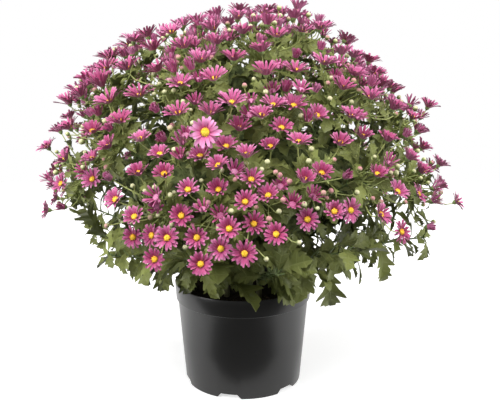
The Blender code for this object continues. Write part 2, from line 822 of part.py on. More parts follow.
def settle(sprays):
    """Moves, turns and trims flower heads until none cross, and gives each spray its shape."""
    random = np.random.default_rng(67)
    for spray in sprays:
        for kind, _ in head_kinds():
            for head in spray[kind]:
                head["hub"] = spray["hub"]
                while hold_back(head, 0.05) > math.radians(WIDEST_TURN_DEG):
                    pass
    near = [
        (i, j)
        for i, j in itertools.combinations(range(len(sprays)), 2)
        if (sprays[i]["hub"] - sprays[j]["hub"]).length < SPRAY_REACH
    ]
    built = [best_turned(spray, random) for spray in sprays]
    for _ in range(SETTLE_ROUNDS):
        moved = []
        pairs = [(k, k, *pair) for k, one in enumerate(built) for pair in one["crossing"]]
        for i, j in near:
            pairs += [(i, j, *pair) for pair in crossing_heads(built[i], built[j])]
        for i, j, a, b in {tuple(map(id, pair)): pair for pair in pairs}.values():
            ends = [head["centre"] if head else built[k]["hub"] for k, head in ((i, a), (j, b))]
            for k, head, sign in ((i, a, 1), (j, b, -1)):
                if head:
                    if a is not b:
                        head["centre"] += unit(ends[0] - ends[1]) * sign * NUDGE
                    head["radius"] *= TRIM
                    hold_back(head, 0.2)
                    moved.append(k)
        if not pairs:
            break
        for k in set(moved):
            built[k] = best_turned(sprays[k], random)
    for spray, one in zip(sprays, built):
        spray["shape"] = one["shape"]


def trunk_point(cutting, height):
    """The middle of a cutting's main stem at a height: it leans out above the soil."""
    lean = max(height - SOIL_EDGE_HEIGHT, 0) / (TRUNK_TOP - SOIL_EDGE_HEIGHT)
    return cutting_spots()[cutting] * (1 + TRUNK_LEAN * lean) + UP * height


def branch_path(cutting, number, base, out):
    """Points along a branch from its cutting's main stem to a spray's foot."""
    start = trunk_point(cutting, TRUNK_TOP - BRANCH_DROP - BRANCH_STEP * number)
    towards = unit(Vector((base.x, base.y, 0)) - cutting_spots()[cutting])
    start += towards * BRANCH_OFFSET
    bend = base - out * BRANCH_RISE
    return [bent(start, bend, base, t) for t in (0, 0.5, 1)]


def bent(start, bend, end, t):
    """A point on the curve from start to end that bends towards a third point."""
    return start * (1 - t) ** 2 + bend * (2 * t * (1 - t)) + end * t**2


def shoots():
    """Low leafy shoots without flowers, which spread over the pot's rim."""
    random = np.random.default_rng(31)
    found = []
    for cutting in range(1, OUTER_CUTTINGS + 1):
        middle = 2 * math.pi * (cutting - 1) / OUTER_CUTTINGS
        for half in (-1, 1):
            start = trunk_point(cutting, SHOOT_HEIGHT + 0.004 * half)
            turn = middle + half * random.uniform(0.20, 0.34)
            out = Vector((math.cos(turn), math.sin(turn), 0))
            reach = random.uniform(*SHOOT_REACH)
            if cutting == 1 and half == -1:
                reach = LONG_SHOOT_REACH
            end = out * reach + UP * random.uniform(*SHOOT_END)
            bend = start.lerp(end, 0.5) + UP * SHOOT_ARCH
            path = [bent(start, bend, end, t) for t in (0, 0.4, 0.75, 1)]
            found.append({"cutting": cutting, "path": path, "leaves": []})
    return found


def stem_shape(host, margin=0.0):
    """A branch or a low shoot."""
    path = host["path"]
    return tube(path, [BRANCH_RADIUS + margin] * len(path), 3, GREEN, host.get("out"))


def core_middle(cutting):
    if cutting == 0:
        return DOME_CENTRE + UP * CROWN_CORE_HEIGHT
    angle = 2 * math.pi * (cutting - 1) / OUTER_CUTTINGS
    reach, height = SIDE_CORE_PLACE
    return DOME_CENTRE + Vector((reach * math.cos(angle), reach * math.sin(angle), height))


def underside(reach):
    """The height of the leafy mass's underside at a distance from the pot's axis."""
    return UNDERSIDE_HEIGHT + UNDERSIDE_SLOPE * max(reach - UNDERSIDE_REACH, 0)


def in_core_room(cutting, point):
    """Whether a point is in the part of the bush that a cutting's leafy core may fill."""
    way = point - DOME_CENTRE
    flat = math.hypot(way.x, way.y)
    slope = math.tan(math.radians(CROWN_DEG))
    wider = CORE_FLARE * max(-way.z, 0)
    if way.length > CORE_REACH + wider or point.z < underside(flat):
        return False
    if cutting == 0:
        return flat < way.z * slope - CORE_GAP
    middle = 2 * math.pi * (cutting - 1) / OUTER_CUTTINGS
    ahead = way.x * math.cos(middle) + way.y * math.sin(middle)
    aside = abs(way.y * math.cos(middle) - way.x * math.sin(middle))
    half = math.pi / OUTER_CUTTINGS
    return aside * math.cos(half) < ahead * math.sin(half) - CORE_GAP and (
        flat > max(way.z * slope + CORE_GAP, CORE_INNER)
    )


def make_cores(hosts):
    """A core of leaf tips for each cutting, pulled in where a stem of another one passes.

    A sphere cut from an icosahedron lists its twelve first corners first: they are the dents.
    """
    random = np.random.default_rng(47)
    ball = bmesh.new()
    bmesh.ops.create_icosphere(ball, subdivisions=2, radius=1)
    ways = [corner.co.copy() for corner in ball.verts]
    faces = [tuple(corner.index for corner in face.verts) for face in ball.faces]
    ball.free()
    cores = []
    for cutting in range(OUTER_CUTTINGS + 1):
        points, others = [], []
        for host in hosts:
            if host["cutting"] != cutting:
                for thing in [stem_shape(host, STEM_CLEARANCE)] + leaves_with_room(host):
                    others += [tuple(k + len(points) for k in face) for face in thing[1]]
                    points += thing[0]
        foreign = BVHTree.FromPolygons(points, others)
        middle = core_middle(cutting)
        reaches = []
        for k, way in enumerate(ways):
            reach = CORE_STEP
            while reach < CORE_LONGEST and in_core_room(cutting, middle + way * reach):
                reach += CORE_STEP
            shares = CORE_DENTS if k < CORE_FIRST_DENTS else CORE_TIPS
            reaches.append((reach - CORE_STEP) * random.uniform(*shares))
        for _ in range(CORE_ROUNDS):
            points = [middle + way * reach for way, reach in zip(ways, reaches)]
            tree = BVHTree.FromPolygons(points, faces)
            crossed = {k for face, _ in tree.overlap(foreign) for k in faces[face]}
            if not crossed:
                break
            for k in crossed:
                reaches[k] *= CORE_TRIM
        shape = (points, faces, [GREEN] * len(faces))
        cores.append({"shape": shape, "tree": tree, "middle": middle})
    return cores


def leaves_with_room(host):
    """A host's leaves, each shown twice: before and behind its true place."""
    found = []
    for leaf in host["leaves"]:
        for side in (-1, 1):
            moved = dict(leaf, start=leaf["start"] + side * SEEN_LEAF_ROOM * leaf["face"])
            found.append(leaf_shape(moved))
    return found


def outside(core, point):
    """How far a point is outside a core, negative inside it. All of a core is seen from its middle."""
    way = point - core["middle"]
    away = core["tree"].find_nearest(point)[3]
    surface = core["tree"].ray_cast(core["middle"], unit(way))[3]
    return away if way.length > surface else -away


def along_path(path, share):
    """The point at a share of a path's stretches."""
    place = min(share, 0.999) * (len(path) - 1)
    k = int(place)
    return path[k].lerp(path[k + 1], place - k)


def line_points(start, end, pitch=0.004):
    count = max(2, int((end - start).length / pitch) + 1)
    return [start.lerp(end, k / (count - 1)) for k in range(count)]


def spray_points(spray):
    """Points over a spray's stalks and flower heads, which leaves keep clear of."""
    hub = spray["hub"]
    found = line_points(spray["base"], hub)
    for head in spray["blooms"] + spray["half_open"] + spray["buds"]:
        found += line_points(hub, head["centre"])
        found += ring(head["centre"], head["facing"], head["radius"] * 0.55, 6)
        found += petal_outline(head, BLOOM_PETALS, 1.0, 0.0)
    return found


def tree_of(points):
    tree = KDTree(len(points))
    for k, point in enumerate(points):
        tree.insert(point, k)
    tree.balance()
    return tree


def leaf_plan(start, along, face, length):
    """A leaf blade: its outline from the right of its foot round to the left, and its middle."""
    side = along.cross(face)
    rises = [(x, y, -0.05 if x else 0.0) for x, y in LEAF_EDGE]
    outline = []
    for x, y, rise in rises + [(0.0, 1.0, -0.12)] + [(-x, y, r) for x, y, r in rises[::-1]]:
        place = start + side * (x * LEAF_WIDTH * length / 2) + along * (y * length)
        outline.append(place + face * (rise * length))
    middle = start + along * (LEAF_MIDDLE * length) + face * (0.06 * length)
    return outline, middle


def leaf_shape(leaf):
    """A thin lobed leaf on its stalk, sunk into the branch that it grows from."""
    start, along, face = leaf["start"], leaf["along"], leaf["face"]
    side = along.cross(face)
    outline, middle = leaf_plan(start, along, face, leaf["length"])
    stalk = unit(start - leaf["root"])
    corners = (-side, side, -face)
    thin, thick = (share * PETIOLE_RADIUS for share in PETIOLE_TAPER)
    foot = [leaf["root"] + unit(c - stalk * c.dot(stalk)) * thin for c in corners]
    base = [start + corner * thick for corner in corners]
    points = foot + base + outline
    faces = [(0, 2, 1)] + bridge([0, 1, 2], [3, 4, 5])
    edge = [4] + list(range(6, len(points))) + [3]
    points += [middle + face * LEAF_THICKNESS / 2, middle - face * LEAF_THICKNESS / 2]
    top, bottom = len(points) - 2, len(points) - 1
    faces += [(top, edge[i], edge[i + 1]) for i in range(len(edge) - 1)] + [(top, 3, 4)]
    faces += [(bottom, edge[i + 1], edge[i]) for i in range(len(edge) - 1)]
    faces += [(bottom, 5, 3), (bottom, 4, 5)]
    return points, faces, [GREEN] * len(faces)


def leaf_points(leaf):
    """Points over a leaf's blade."""
    outline, middle = leaf_plan(leaf["start"], leaf["along"], leaf["face"], leaf["length"])
    found = [middle, leaf["start"]]
    for k, corner in enumerate(outline):
        half_way = corner.lerp(outline[k - 1], 0.5) if k else corner
        for spot in (corner, half_way):
            found += [middle.lerp(spot, 0.35), middle.lerp(spot, 0.7), spot]
    return found


def skirt_leaf(random, host):
    """A large leaf that hangs outwards from a low shoot."""
    root = along_path(host["path"], random.uniform(0.15, 1))
    turn = math.atan2(root.y, root.x) + random.uniform(-1.4, 1.4)
    out = Vector((math.cos(turn), math.sin(turn), 0))
    start = root + unit(out + UP * random.uniform(-0.5, 0.7)) * random.uniform(0.011, 0.020)
    along = unit(out + UP * random.uniform(-1.4, 0.6))
    roll = along.cross(out) * random.uniform(-0.35, 0.35)
    face = out + UP + roll
    face = unit(face - along * face.dot(along))
    length = random.uniform(0.050, 0.078)
    return {"root": root, "start": start, "along": along, "face": face, "length": length}


def shell_leaf(random, host):
    """A leaf that lies just under the flowers, along the dome."""
    root = along_path(host["path"], random.uniform(0.60, 0.995))
    out = unit(root - DOME_CENTRE)
    side, other = around(out)
    turn = random.uniform(0, 2 * math.pi)
    level = side * math.cos(turn) + other * math.sin(turn)
    start = root + unit(out * random.uniform(0.0, 1.2) + level) * random.uniform(0.012, 0.024)
    along = unit(level + out * random.uniform(-0.1, 0.6))
    face = unit(out - along * out.dot(along))
    length = random.uniform(0.040, 0.062)
    return {"root": root, "start": start, "along": along, "face": face, "length": length}


def add_seen_leaves(low_shoots):
    """The large leaves of the picture, each on the low shoot that is nearest to its foot."""
    for foot, tip, before in SEEN_LEAVES:
        start, end = (EYE + way * ((-before - EYE.y) / way.y) for way in map(sight_line, (foot, tip)))
        roots = [
            (along_path(host["path"], k / ROOT_STEPS), host)
            for host in low_shoots
            for k in range(2, ROOT_STEPS)
        ]
        root, host = min(roots, key=lambda pair: (pair[0] - start).length)
        along = unit(end - start)
        face = unit(EYE - start) + SEEN_LEAF_LEAN * unit(Vector((start.x, start.y, 0)))
        face = unit(face - along * face.dot(along))
        leaf = {"root": root, "start": start, "along": along, "face": face}
        leaf["length"] = (end - start).length
        host["leaves"].append(leaf)


def clear_of(points, tree, distance):
    return all(tree.find(point)[2] > distance for point in points)


def out_of_place(point):
    """Whether a point is in the pot, far out, or hangs far under the leafy mass."""
    reach = math.hypot(point.x, point.y)
    in_pot = point.z < POT_HEIGHT + 0.004 and reach < RIM_RADIUS + 0.004
    return in_pot or reach > LEAF_REACH or point.z < underside(reach) - HANGS - RIGHT_HANG * max(point.x, 0)


def clear_of_cores(blade, shown, cores, own):
    """Whether a leaf shows outside its own core and keeps clear of the others."""
    if outside(cores[own], shown) < LEAF_OUT_OF_CORE:
        return False
    others = [core for k, core in enumerate(cores) if k != own]
    return all(outside(core, point) > LEAF_CLEARANCE for core in others for point in blade)


def place_leaves(sprays, low_shoots, cores):
    """Leaves tried by a seeded draw on each branch, after the ones read from the picture.

    A leaf is kept where it touches nothing.
    """
    random = np.random.default_rng(5)
    heads = tree_of([point for spray in sprays for point in spray_points(spray)])
    stems = []
    for host in sprays + low_shoots:
        path = host["path"]
        for k in range(len(path) - 1):
            stems += line_points(path[k], path[k + 1])
    stems = tree_of(stems)
    taken = [Vector((0, 0, -1))]

    def kept(host, leaf, seen):
        blade = leaf_points(leaf)
        stalk = line_points(leaf["root"].lerp(leaf["start"], STALK_IN_BRANCH), leaf["start"])
        shown = leaf["start"] + leaf["along"] * leaf["length"] if seen else blade[0]
        others = tree_of(taken)
        roots = [other["root"] for other in host["leaves"] if other is not leaf]
        fits = (
            (seen or not any(out_of_place(point) for point in blade + stalk))
            and all((root - leaf["root"]).length > ROOT_SPACING for root in roots)
            and clear_of(blade, stems, LEAF_CLEARANCE)
            and clear_of(blade + stalk, heads, LEAF_CLEARANCE + 0.001)
            and clear_of(blade + stalk, others, LEAF_CLEARANCE)
            and clear_of_cores(blade, shown, cores, host["cutting"])
        )
        if fits:
            taken.extend(blade + stalk)
        return fits

    for host in low_shoots:
        host["leaves"] = [leaf for leaf in host["leaves"] if kept(host, leaf, True)]
    plan = ((skirt_leaf, SKIRT_LEAVES, low_shoots), (shell_leaf, SHELL_LEAVES, sprays))
    for kind, count, hosts in plan:
        placed = 0
        for attempt in range(LEAF_TRIES * count):
            host = hosts[attempt % len(hosts)]
            leaf = kind(random, host)
            if kept(host, leaf, False):
                host["leaves"].append(leaf)
                placed += 1
            if placed == count:
                break


def make_cutting(name, cutting, hosts, core, materials):
    trunk = [trunk_point(cutting, z) for z in (TRUNK_FOOT, SOIL_EDGE_HEIGHT, TRUNK_TOP)]
    shapes = [tube(trunk, [TRUNK_RADIUS] * 3, 5), core["shape"]]
    for host in hosts:
        if host["cutting"] == cutting:
            shapes.append(stem_shape(host))
            shapes += [leaf_shape(leaf) for leaf in host["leaves"]]
    return fused(name, shapes, materials)


GREEN, PETAL, DISC = 0, 1, 2


def main():
    for old in list(bpy.data.objects):
        bpy.data.objects.remove(old)
    plastic = material("black plastic", (0.012, 0.012, 0.013), 0.35)
    earth = material("potting soil", (0.020, 0.014, 0.010), 0.95)
    green = material("green stem and leaf", (0.10, 0.16, 0.05), 0.55)
    petal = material("pink petal", (0.62, 0.12, 0.33), 0.50)
    disc = material("yellow disc", (0.75, 0.48, 0.04), 0.65)
    make_pot(plastic)
    make_soil(earth)
    sprays = lay_out()
    low_shoots = shoots()
    add_seen_leaves(low_shoots)
    hosts = sprays + low_shoots
    cores = make_cores(hosts)
    place_leaves(sprays, low_shoots, cores)
    for cutting, core in enumerate(cores):
        make_cutting(f"leafy_plant_{cutting}", cutting, hosts, core, [green])
    for k, spray in enumerate(sprays):
        new_object(f"spray_{k:02d}", spray["shape"], [green, petal, disc])


main()
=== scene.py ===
"""The looks of a pot chrysanthemum: its blooms, leaves, stems, soil and pot, round the CAD part.

Metres, +Z up, in the CAD part's own frame. Flower heads, stalks and leaves take their places from
the corners of the CAD nodes, so each fine piece keeps the form of the solid that it replaces.
"""

import functools
from math import asin, atan2, comb, cos, exp, hypot, pi, radians, sin, sqrt, tan, tau

import bpy
import numpy as np
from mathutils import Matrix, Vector
from mathutils.kdtree import KDTree
from numpy.linalg import norm


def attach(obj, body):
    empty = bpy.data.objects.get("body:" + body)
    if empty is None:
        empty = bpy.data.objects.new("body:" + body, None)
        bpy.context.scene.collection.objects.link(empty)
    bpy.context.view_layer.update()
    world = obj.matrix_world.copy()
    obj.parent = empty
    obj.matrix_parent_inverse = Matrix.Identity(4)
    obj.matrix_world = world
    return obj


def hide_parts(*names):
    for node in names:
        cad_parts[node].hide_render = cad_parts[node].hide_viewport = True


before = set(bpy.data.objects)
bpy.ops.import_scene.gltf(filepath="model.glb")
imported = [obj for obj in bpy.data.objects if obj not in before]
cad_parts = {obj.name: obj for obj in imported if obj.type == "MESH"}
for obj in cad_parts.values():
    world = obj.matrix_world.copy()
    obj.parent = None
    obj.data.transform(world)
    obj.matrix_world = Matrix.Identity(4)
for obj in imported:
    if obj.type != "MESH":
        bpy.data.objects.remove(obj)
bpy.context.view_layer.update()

# Sizes of the CAD part that its corners are recognised by, and how closely
DISC_RADIUS = 0.0050
DISC_EDGE = 0.005385
BUD_EDGE = 0.004525
EDGE_MATCH = 0.0001
EDGE_SHARE = 0.03
CALYX_DEPTH = 0.0040
LEAF_THICKNESS = 0.0018
SOLID_LEAF_MIDDLE = 0.45
SOLID_LEAF_CROWN = 0.06
SOLID_LEAF_FALL = 0.18

# Stems of the CAD part: seven cuttings, their branches and their low shoots
TOUCH = 0.0003
OUTER_CUTTINGS = 6
BRANCHES_EACH = 5
CUTTING_RING = 0.046
SOIL_EDGE_HEIGHT = 0.136
TRUNK_FOOT = 0.106
TRUNK_TOP = 0.174
TRUNK_LEAN = 0.06
TRUNK_RADIUS = 0.0042
TRUNK_ROWS = 8
FIRST_BRANCH_DROP = 0.0045
BRANCH_STEP = 0.0057
BRANCH_RISE = 0.075
BRANCH_RADII = (0.0023, 0.0014)
BRANCH_ROWS = 14
SHOOT_SEED = 31
SHOOT_HEIGHT = 0.158
SHOOT_STAGGER = 0.004
SHOOT_REACH = (0.185, 0.232)
SHOOT_END = (0.212, 0.250)
SHOOT_ARCH = 0.020
SHOOT_RADII = (0.0022, 0.0010)
LONG_SHOOT_REACH = 0.262
DOME_CENTRE = np.array((0.0, 0.0, 0.272))

# Pot
RIM_RADIUS = 0.101
POT_HEIGHT = 0.152
FOOT_RADIUS = 0.0863
COLLAR_HEIGHT = 0.0255
COLLAR_STEP = 0.0028
COLLAR_TAPER = 0.0014
WALL = 0.0017
FLOOR = 0.003
FOOT_ROUND = 0.0016
MID_WALL = 0.064
CHANNEL_HEIGHT = 0.006
CHANNEL_INNER = 0.046
CHANNEL_OUTER = 0.073
CHANNEL_SLOPE = 0.002
CHANNEL_EDGE = 0.004
NOTCHES = 6
NOTCH_HEIGHT = 0.007
NOTCH_BASE_WIDTH = 0.034
NOTCH_TOP_WIDTH = 0.024
NOTCH_REACH = (0.065, 0.105)
FIRST_NOTCH_DEG = -103
DRAIN_RADIUS = 0.005
DRAIN_SPAN = (-0.01, 0.03)
POT_SIDES = 144

# Soil
SOIL_SEED = 8
SOIL_ROWS = 26
SOIL_SIDES = 72
SOIL_CROWN = 0.004
SOIL_BUMPS = 0.0011
CRUMBS = 240
CRUMB_PROFILE = np.array(((0.2, -0.9), (0.9, -0.3), (0.8, 0.4), (0.2, 0.9)))

# Petals: how wide they are along their rows, and their sizes
PETAL_ROWS = np.array((0.0, 0.28, 0.62, 0.88, 1.0))
PETAL_WIDTHS = np.array((0.58, 0.86, 1.0, 0.84, 0.36))
PETAL_WIDTH = 0.0034
PETAL_THICKNESS = 0.0004
PETAL_FOOT = 0.0036
PETAL_FOOT_DROP = 0.0003
PETAL_SPREAD = 0.17

# Flower heads. A whorl is how much more its petals are cupped, and their length and width as
# shares. In a half-open bloom it is their number, cup, belly, width and turn.
OUTER_PETALS = (13, 16)
INNER_PETALS = (11, 14)
OUTER_WHORL = (-0.05, 1.06, 1.0)
INNER_WHORL = (0.14, 0.96, 0.94)
HALF_OPEN_WHORLS = ((9, -0.22, 0.0, 0.80, 0.0), (7, 0.05, -0.0004, 0.75, 0.3))
UPPER_CUPS = ((0.25, 0.75), (0.0, 0.30))
NECK = 0.0054
CALYX_PROFILE = ((0.0008, -NECK), (0.0021, -0.0041), (0.0032, -0.0022), (0.0034, -0.0004))
DOME_PROFILE = ((0.84, 0.0002), (0.94, 0.0011), (0.74, 0.0022), (0.38, 0.0028), (0.06, 0.0030))
HALF_OPEN_PROFILE = (
    (0.0008, -NECK), (0.0022, -0.0044), (0.0036, -0.0024), (0.0041, -0.0004), (0.0040, 0.0008),
    (0.0016, 0.0016),
)
BUD_PROFILE = np.array((
    (0.2, -1.05), (0.62, -0.88), (0.95, -0.35), (1.0, 0.15), (0.76, 0.68), (0.32, 0.98), (0.04, 1.04)
))
DISC_SHARE = 0.78
FLORETS = 16

# How open blooms lean and grow with their height in the bush, and how fresh ones fill its gaps
HEAD_LEANS = ((0.05, 0.35), (0.0, 0.55))
HEAD_SIZES = ((0.1, 0.40, 0.65, 0.9), (0.88, 0.91, 1.17, 1.05))
FRESH_TRIES = 240
FRESH_REACH = 0.060
FRESH_HALF_OPEN = (2, 8)
FRESH_BUDS = 10
FRESH_ROOM = {"half_open": 0.0155, "bud": 0.010}
FRESH_RADII = {"half_open": (0.0115, 0.0175), "bud": (0.0026, 0.0038)}
FORK_HEADS = 3
FORK_SHARE = 0.72
FORK_DEPTH = 0.010
SPRAY_SEED = 100
STALK_BENDS = (0.30, 0.24)
HUB_RADII = (0.0014, 0.0013)
STALK_RADII = (0.0010, 0.0007)
FRESH_STALK_RADII = (0.0006, 0.00045)

# Leaves: how far along each row is, and the half width of the lobed blade there
LEAF_ROWS = np.array((0, .06, .14, .21, .27, .31, .35, .43, .50, .56, .60, .64, .72, .79, .85, .91, 1))
LEAF_HALVES = np.array(
    (.03, .05, .14, .44, .72, .68, .26, .46, .84, .98, .88, .32, .52, .64, .38, .32, .05)
)
SMALL_LEAF_ROWS = (0, 2, 4, 6, 9, 11, 13, 14, 16)
BRACT_ROWS = (0, 4, 6, 9, 11, 16)
LEAF_COLUMNS = np.array((1.0, 0.5, 0.0, -0.5, -1.0, 0.0))
LEAF_BODY = np.array((0, 0.35, 0.5, 0.35, 0, -0.5))
BLADE_THICKNESS = 0.0007
NARROW_COLUMNS = [0, 2, 4, 5]
LEAF_WIDTH = 0.29
# Painted shade: leaves low in the bush get a darker tone, from these heights to these shares of it
LEAF_SHADE_BY_HEIGHT = ((0.17, 0.26), (0.85, 1.0))
LEAF_SIDE_VEINS = (0.29, 0.58, 0.79)
CORE_RADIUS = 0.070
SMALL_LEAF = 0.036
SMALL_BRACT = 0.024
PETIOLE_RADIUS = 0.0008
BRACT_SHARES = (0.05, 0.14, 0.24, 0.35, 0.47, 0.60, 0.74)
BRACT_DEPTH = 0.008

# Where leaves grow on a branch or a low shoot, and where they may reach
PLANT_SEED = 300
BRANCH_LEAVES = {"first": 0.28, "pitch": 0.0043, "sizes": (0.018, 0.038), "droop": (-0.1, 0.3)}
SHOOT_LEAVES = {"first": 0.15, "pitch": 0.0046, "sizes": (0.026, 0.054), "droop": (-0.5, 1.1)}
LEAF_TRIES = 6
LEAF_COVER = 0.010
COVER_START = 0.2
COVER_RISE = 0.1
POT_CLEAR = (0.004, 0.006)
LOWEST_LEAF = 0.122

# The camera stands where the photograph was taken
EYE = (0.0104, -1.04, 0.488)
EYE_PITCH = 0.205
FOCAL_PIXELS = 727
PICTURE_WIDTH = 500
PICTURE_MIDDLE = (250, 200)
SENSOR_WIDTH = 36

# The large pale bloom that faces the camera
LARGE_BLOOM_PIXEL = (210, 135)
LARGE_BLOOM_GROWTH = 1.18
LARGE_BLOOM_PETALS = (11, 11)
LARGE_BLOOM_TONE = 2.0
LARGE_BLOOM_CUP = 0.14
LARGE_BLOOM_FORWARD = 0.008
LARGE_PETAL_SHARE = 1.35
LARGE_DISC_SHARE = 1.08

# The table ends close in front of the pot, out of the camera's view. The surroundings' light
# changes along two axes of its direction: from where to where, and how strong it is at each.
TABLE_FRONT = -0.125
SURROUNDINGS = (("Z", (-0.25, 0.10, 0.05, 0.62)), ("Y", (-0.2, 0.9, 1.0, 0.40)))
SOFTBOXES = (
    ("softbox_left", (-1.8, -1.05, 0.6), (0.5, 1.2), 32),
    ("softbox_right", (1.95, -0.65, 0.6), (0.6, 1.2), 28),
    ("softbox_top", (-0.2, -1.1, 2.4), (1.6, 1.6), 88),
)

# Young, old and dark tints of each kind of stem
STEM_TINTS = {
    "flower_stalk": ((0.42, 0.47, 0.16), (0.27, 0.33, 0.10), (0.28, 0.26, 0.11)),
    "leafy_stem": ((0.15, 0.21, 0.07), (0.09, 0.12, 0.04), (0.11, 0.09, 0.05)),
    "old_stem": ((0.10, 0.11, 0.045), (0.085, 0.065, 0.040), (0.05, 0.04, 0.025)),
    "calyx": ((0.17, 0.24, 0.075), (0.22, 0.30, 0.11), (0.13, 0.17, 0.06)),
}

# The places of materials in the list of a spray, and of the last two in that of a leafy plant
LEAF, STEM, PETAL, CALYX, DISC, BUD = range(6)
WOOD, CORE = 2, 3

UP = np.array((0.0, 0.0, 1.0))
ANY_TURN = (0, 6.3)
GOLDEN_ANGLE = pi * (3 - sqrt(5))


def unit(vectors):
    """The same directions with a length of one."""
    vectors = np.asarray(vectors, float)
    return vectors / norm(vectors, axis=-1, keepdims=True)


def around(axis):
    """Two directions square to an axis and to each other."""
    side = unit(np.cross(axis, UP if abs(axis[2]) < 0.9 else (1, 0, 0)))
    return side, np.cross(axis, side)


def circle(angles, side, other):
    """Directions at angles from one direction towards another."""
    return np.outer(np.cos(angles), side) + np.outer(np.sin(angles), other)


def level(angle):
    return np.array((cos(angle), sin(angle), 0))


def bezier(points, shares):
    """Places on a curve with two or three steering points, at shares of its length."""
    t = np.asarray(shares, float)[:, None]
    count = len(points) - 1
    return sum(
        comb(count, k) * (1 - t) ** (count - k) * t**k * np.asarray(point)
        for k, point in enumerate(points)
    )


def link(name, data):
    """A new object in the scene."""
    made = bpy.data.objects.new(name, data)
    bpy.context.scene.collection.objects.link(made)
    return made


@functools.lru_cache
def skin(rows, sides):
    """Four-sided faces between rings of points."""
    ring = np.arange(sides)
    step = np.roll(ring, -1)
    quads = np.stack([ring, step, step + sides, ring + sides], axis=1)
    return (quads[None] + (np.arange(rows - 1) * sides)[:, None, None]).reshape(-1, 4)


class Piece:
    """Closed shapes gathered for one piece, with what their materials read from them."""

    def __init__(self):
        self.points, self.quads, self.caps = [], [], []
        self.quad_marks, self.cap_marks = [], []
        self.grain, self.tone = [], []
        self.count = 0

    def add(self, rings, mark, grain=None, tone=0.5, under=0.0):
        """Adds shapes, each a row of rings. mark is one material, or one for each stretch.

        grain is how far along and across a point is, tone its shade of colour (in leaves also lowered
        low in the bush as painted shade) and under its side.
        """
        rings = np.asarray(rings, float)
        if rings.ndim == 3:
            rings = rings[None]
        number, rows, sides = shape = rings.shape[:3]
        if grain is None:
            along = np.linspace(0, 1, rows)[:, None].repeat(sides, axis=1)
            across = np.linspace(0, 1, sides)[None].repeat(rows, axis=0)
            grain = np.stack([along, across], axis=-1)
        tones = np.broadcast_to(np.asarray(tone, float).reshape(-1, 1, 1), shape)
        unders = np.broadcast_to(under, shape)
        marks = [mark] * (rows - 1) if isinstance(mark, int) else mark
        starts = self.count + np.arange(number) * rows * sides
        self.points.append(rings.reshape(-1, 3))
        self.grain.append(np.broadcast_to(grain, (*shape, 2)).reshape(-1, 2))
        self.tone.append(np.stack([tones, unders], axis=-1).reshape(-1, 2))
        self.quads.append((skin(rows, sides)[None] + starts[:, None, None]).reshape(-1, 4))
        self.quad_marks.append(np.tile(np.repeat(marks, sides), number))
        for start in starts:
            last = start + (rows - 1) * sides
            self.caps.append(tuple(range(start + sides - 1, start - 1, -1)))
            self.caps.append(tuple(range(last, last + sides)))
            self.cap_marks += [marks[0], marks[-1]]
        self.count += number * rows * sides

    def finish(self, name, materials, slot, nodes):
        """Makes the piece, which rides on the only body and stands for its CAD nodes."""
        mesh = bpy.data.meshes.new(name)
        quads = np.concatenate(self.quads).tolist()
        mesh.from_pydata(np.concatenate(self.points).tolist(), [], quads + self.caps)
        for one in materials:
            mesh.materials.append(one)
        marks = np.concatenate(self.quad_marks + [np.array(self.cap_marks, int)])
        mesh.polygons.foreach_set("material_index", marks.astype(np.int32))
        corner = np.zeros(len(mesh.loops), np.int32)
        mesh.loops.foreach_get("vertex_index", corner)
        for label, values in (("grain", self.grain), ("tone", self.tone)):
            layer = mesh.uv_layers.new(name=label)
            layer.data.foreach_set("uv", np.concatenate(values)[corner].ravel())
        mesh.shade_smooth()
        mesh.set_sharp_from_angle(angle=radians(60))
        made = link(name, mesh)
        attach(made, "root")
        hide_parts(*nodes)


def tube_rings(path, radii, sides):
    """Rings of points along a path, with no twist."""
    path = np.asarray(path, float)
    ways = unit(np.gradient(path, axis=0))
    side = around(ways[0])[0]
    angles = tau * np.arange(sides) / sides
    rings = []
    for place, way, radius in zip(path, ways, radii):
        side = unit(side - way * side.dot(way))
        rings.append(place + radius * circle(angles, side, np.cross(way, side)))
    return np.array(rings)


def lathe_rings(profile, centre, axis, sides, turn=0.0):
    """Rings of points round an axis, from a profile of (radius, height) pairs."""
    angles = turn + tau * np.arange(sides) / sides
    profile = np.asarray(profile, float)
    rings = profile[:, :1, None] * circle(angles, *around(axis))
    return centre + rings + (profile[:, 1:] * axis)[:, None]


# Reading the places of the CAD part

def corners_of(node):
    """A CAD node's corners, each once, and the numbers of each one's neighbours."""
    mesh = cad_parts[node].data
    places = np.zeros(3 * len(mesh.vertices))
    mesh.vertices.foreach_get("co", places)
    places = places.reshape(-1, 3)
    _, first, number = np.unique(
        np.round(places, 6), axis=0, return_index=True, return_inverse=True
    )
    near = [set() for _ in first]
    for face in mesh.polygons:
        one, two, three = (int(number[k]) for k in face.vertices)
        near[one] |= {two, three}
        near[two] |= {one, three}
        near[three] |= {one, two}
    return places[first], near


def alike(values):
    return max(values) - min(values) < EDGE_SHARE * max(values)


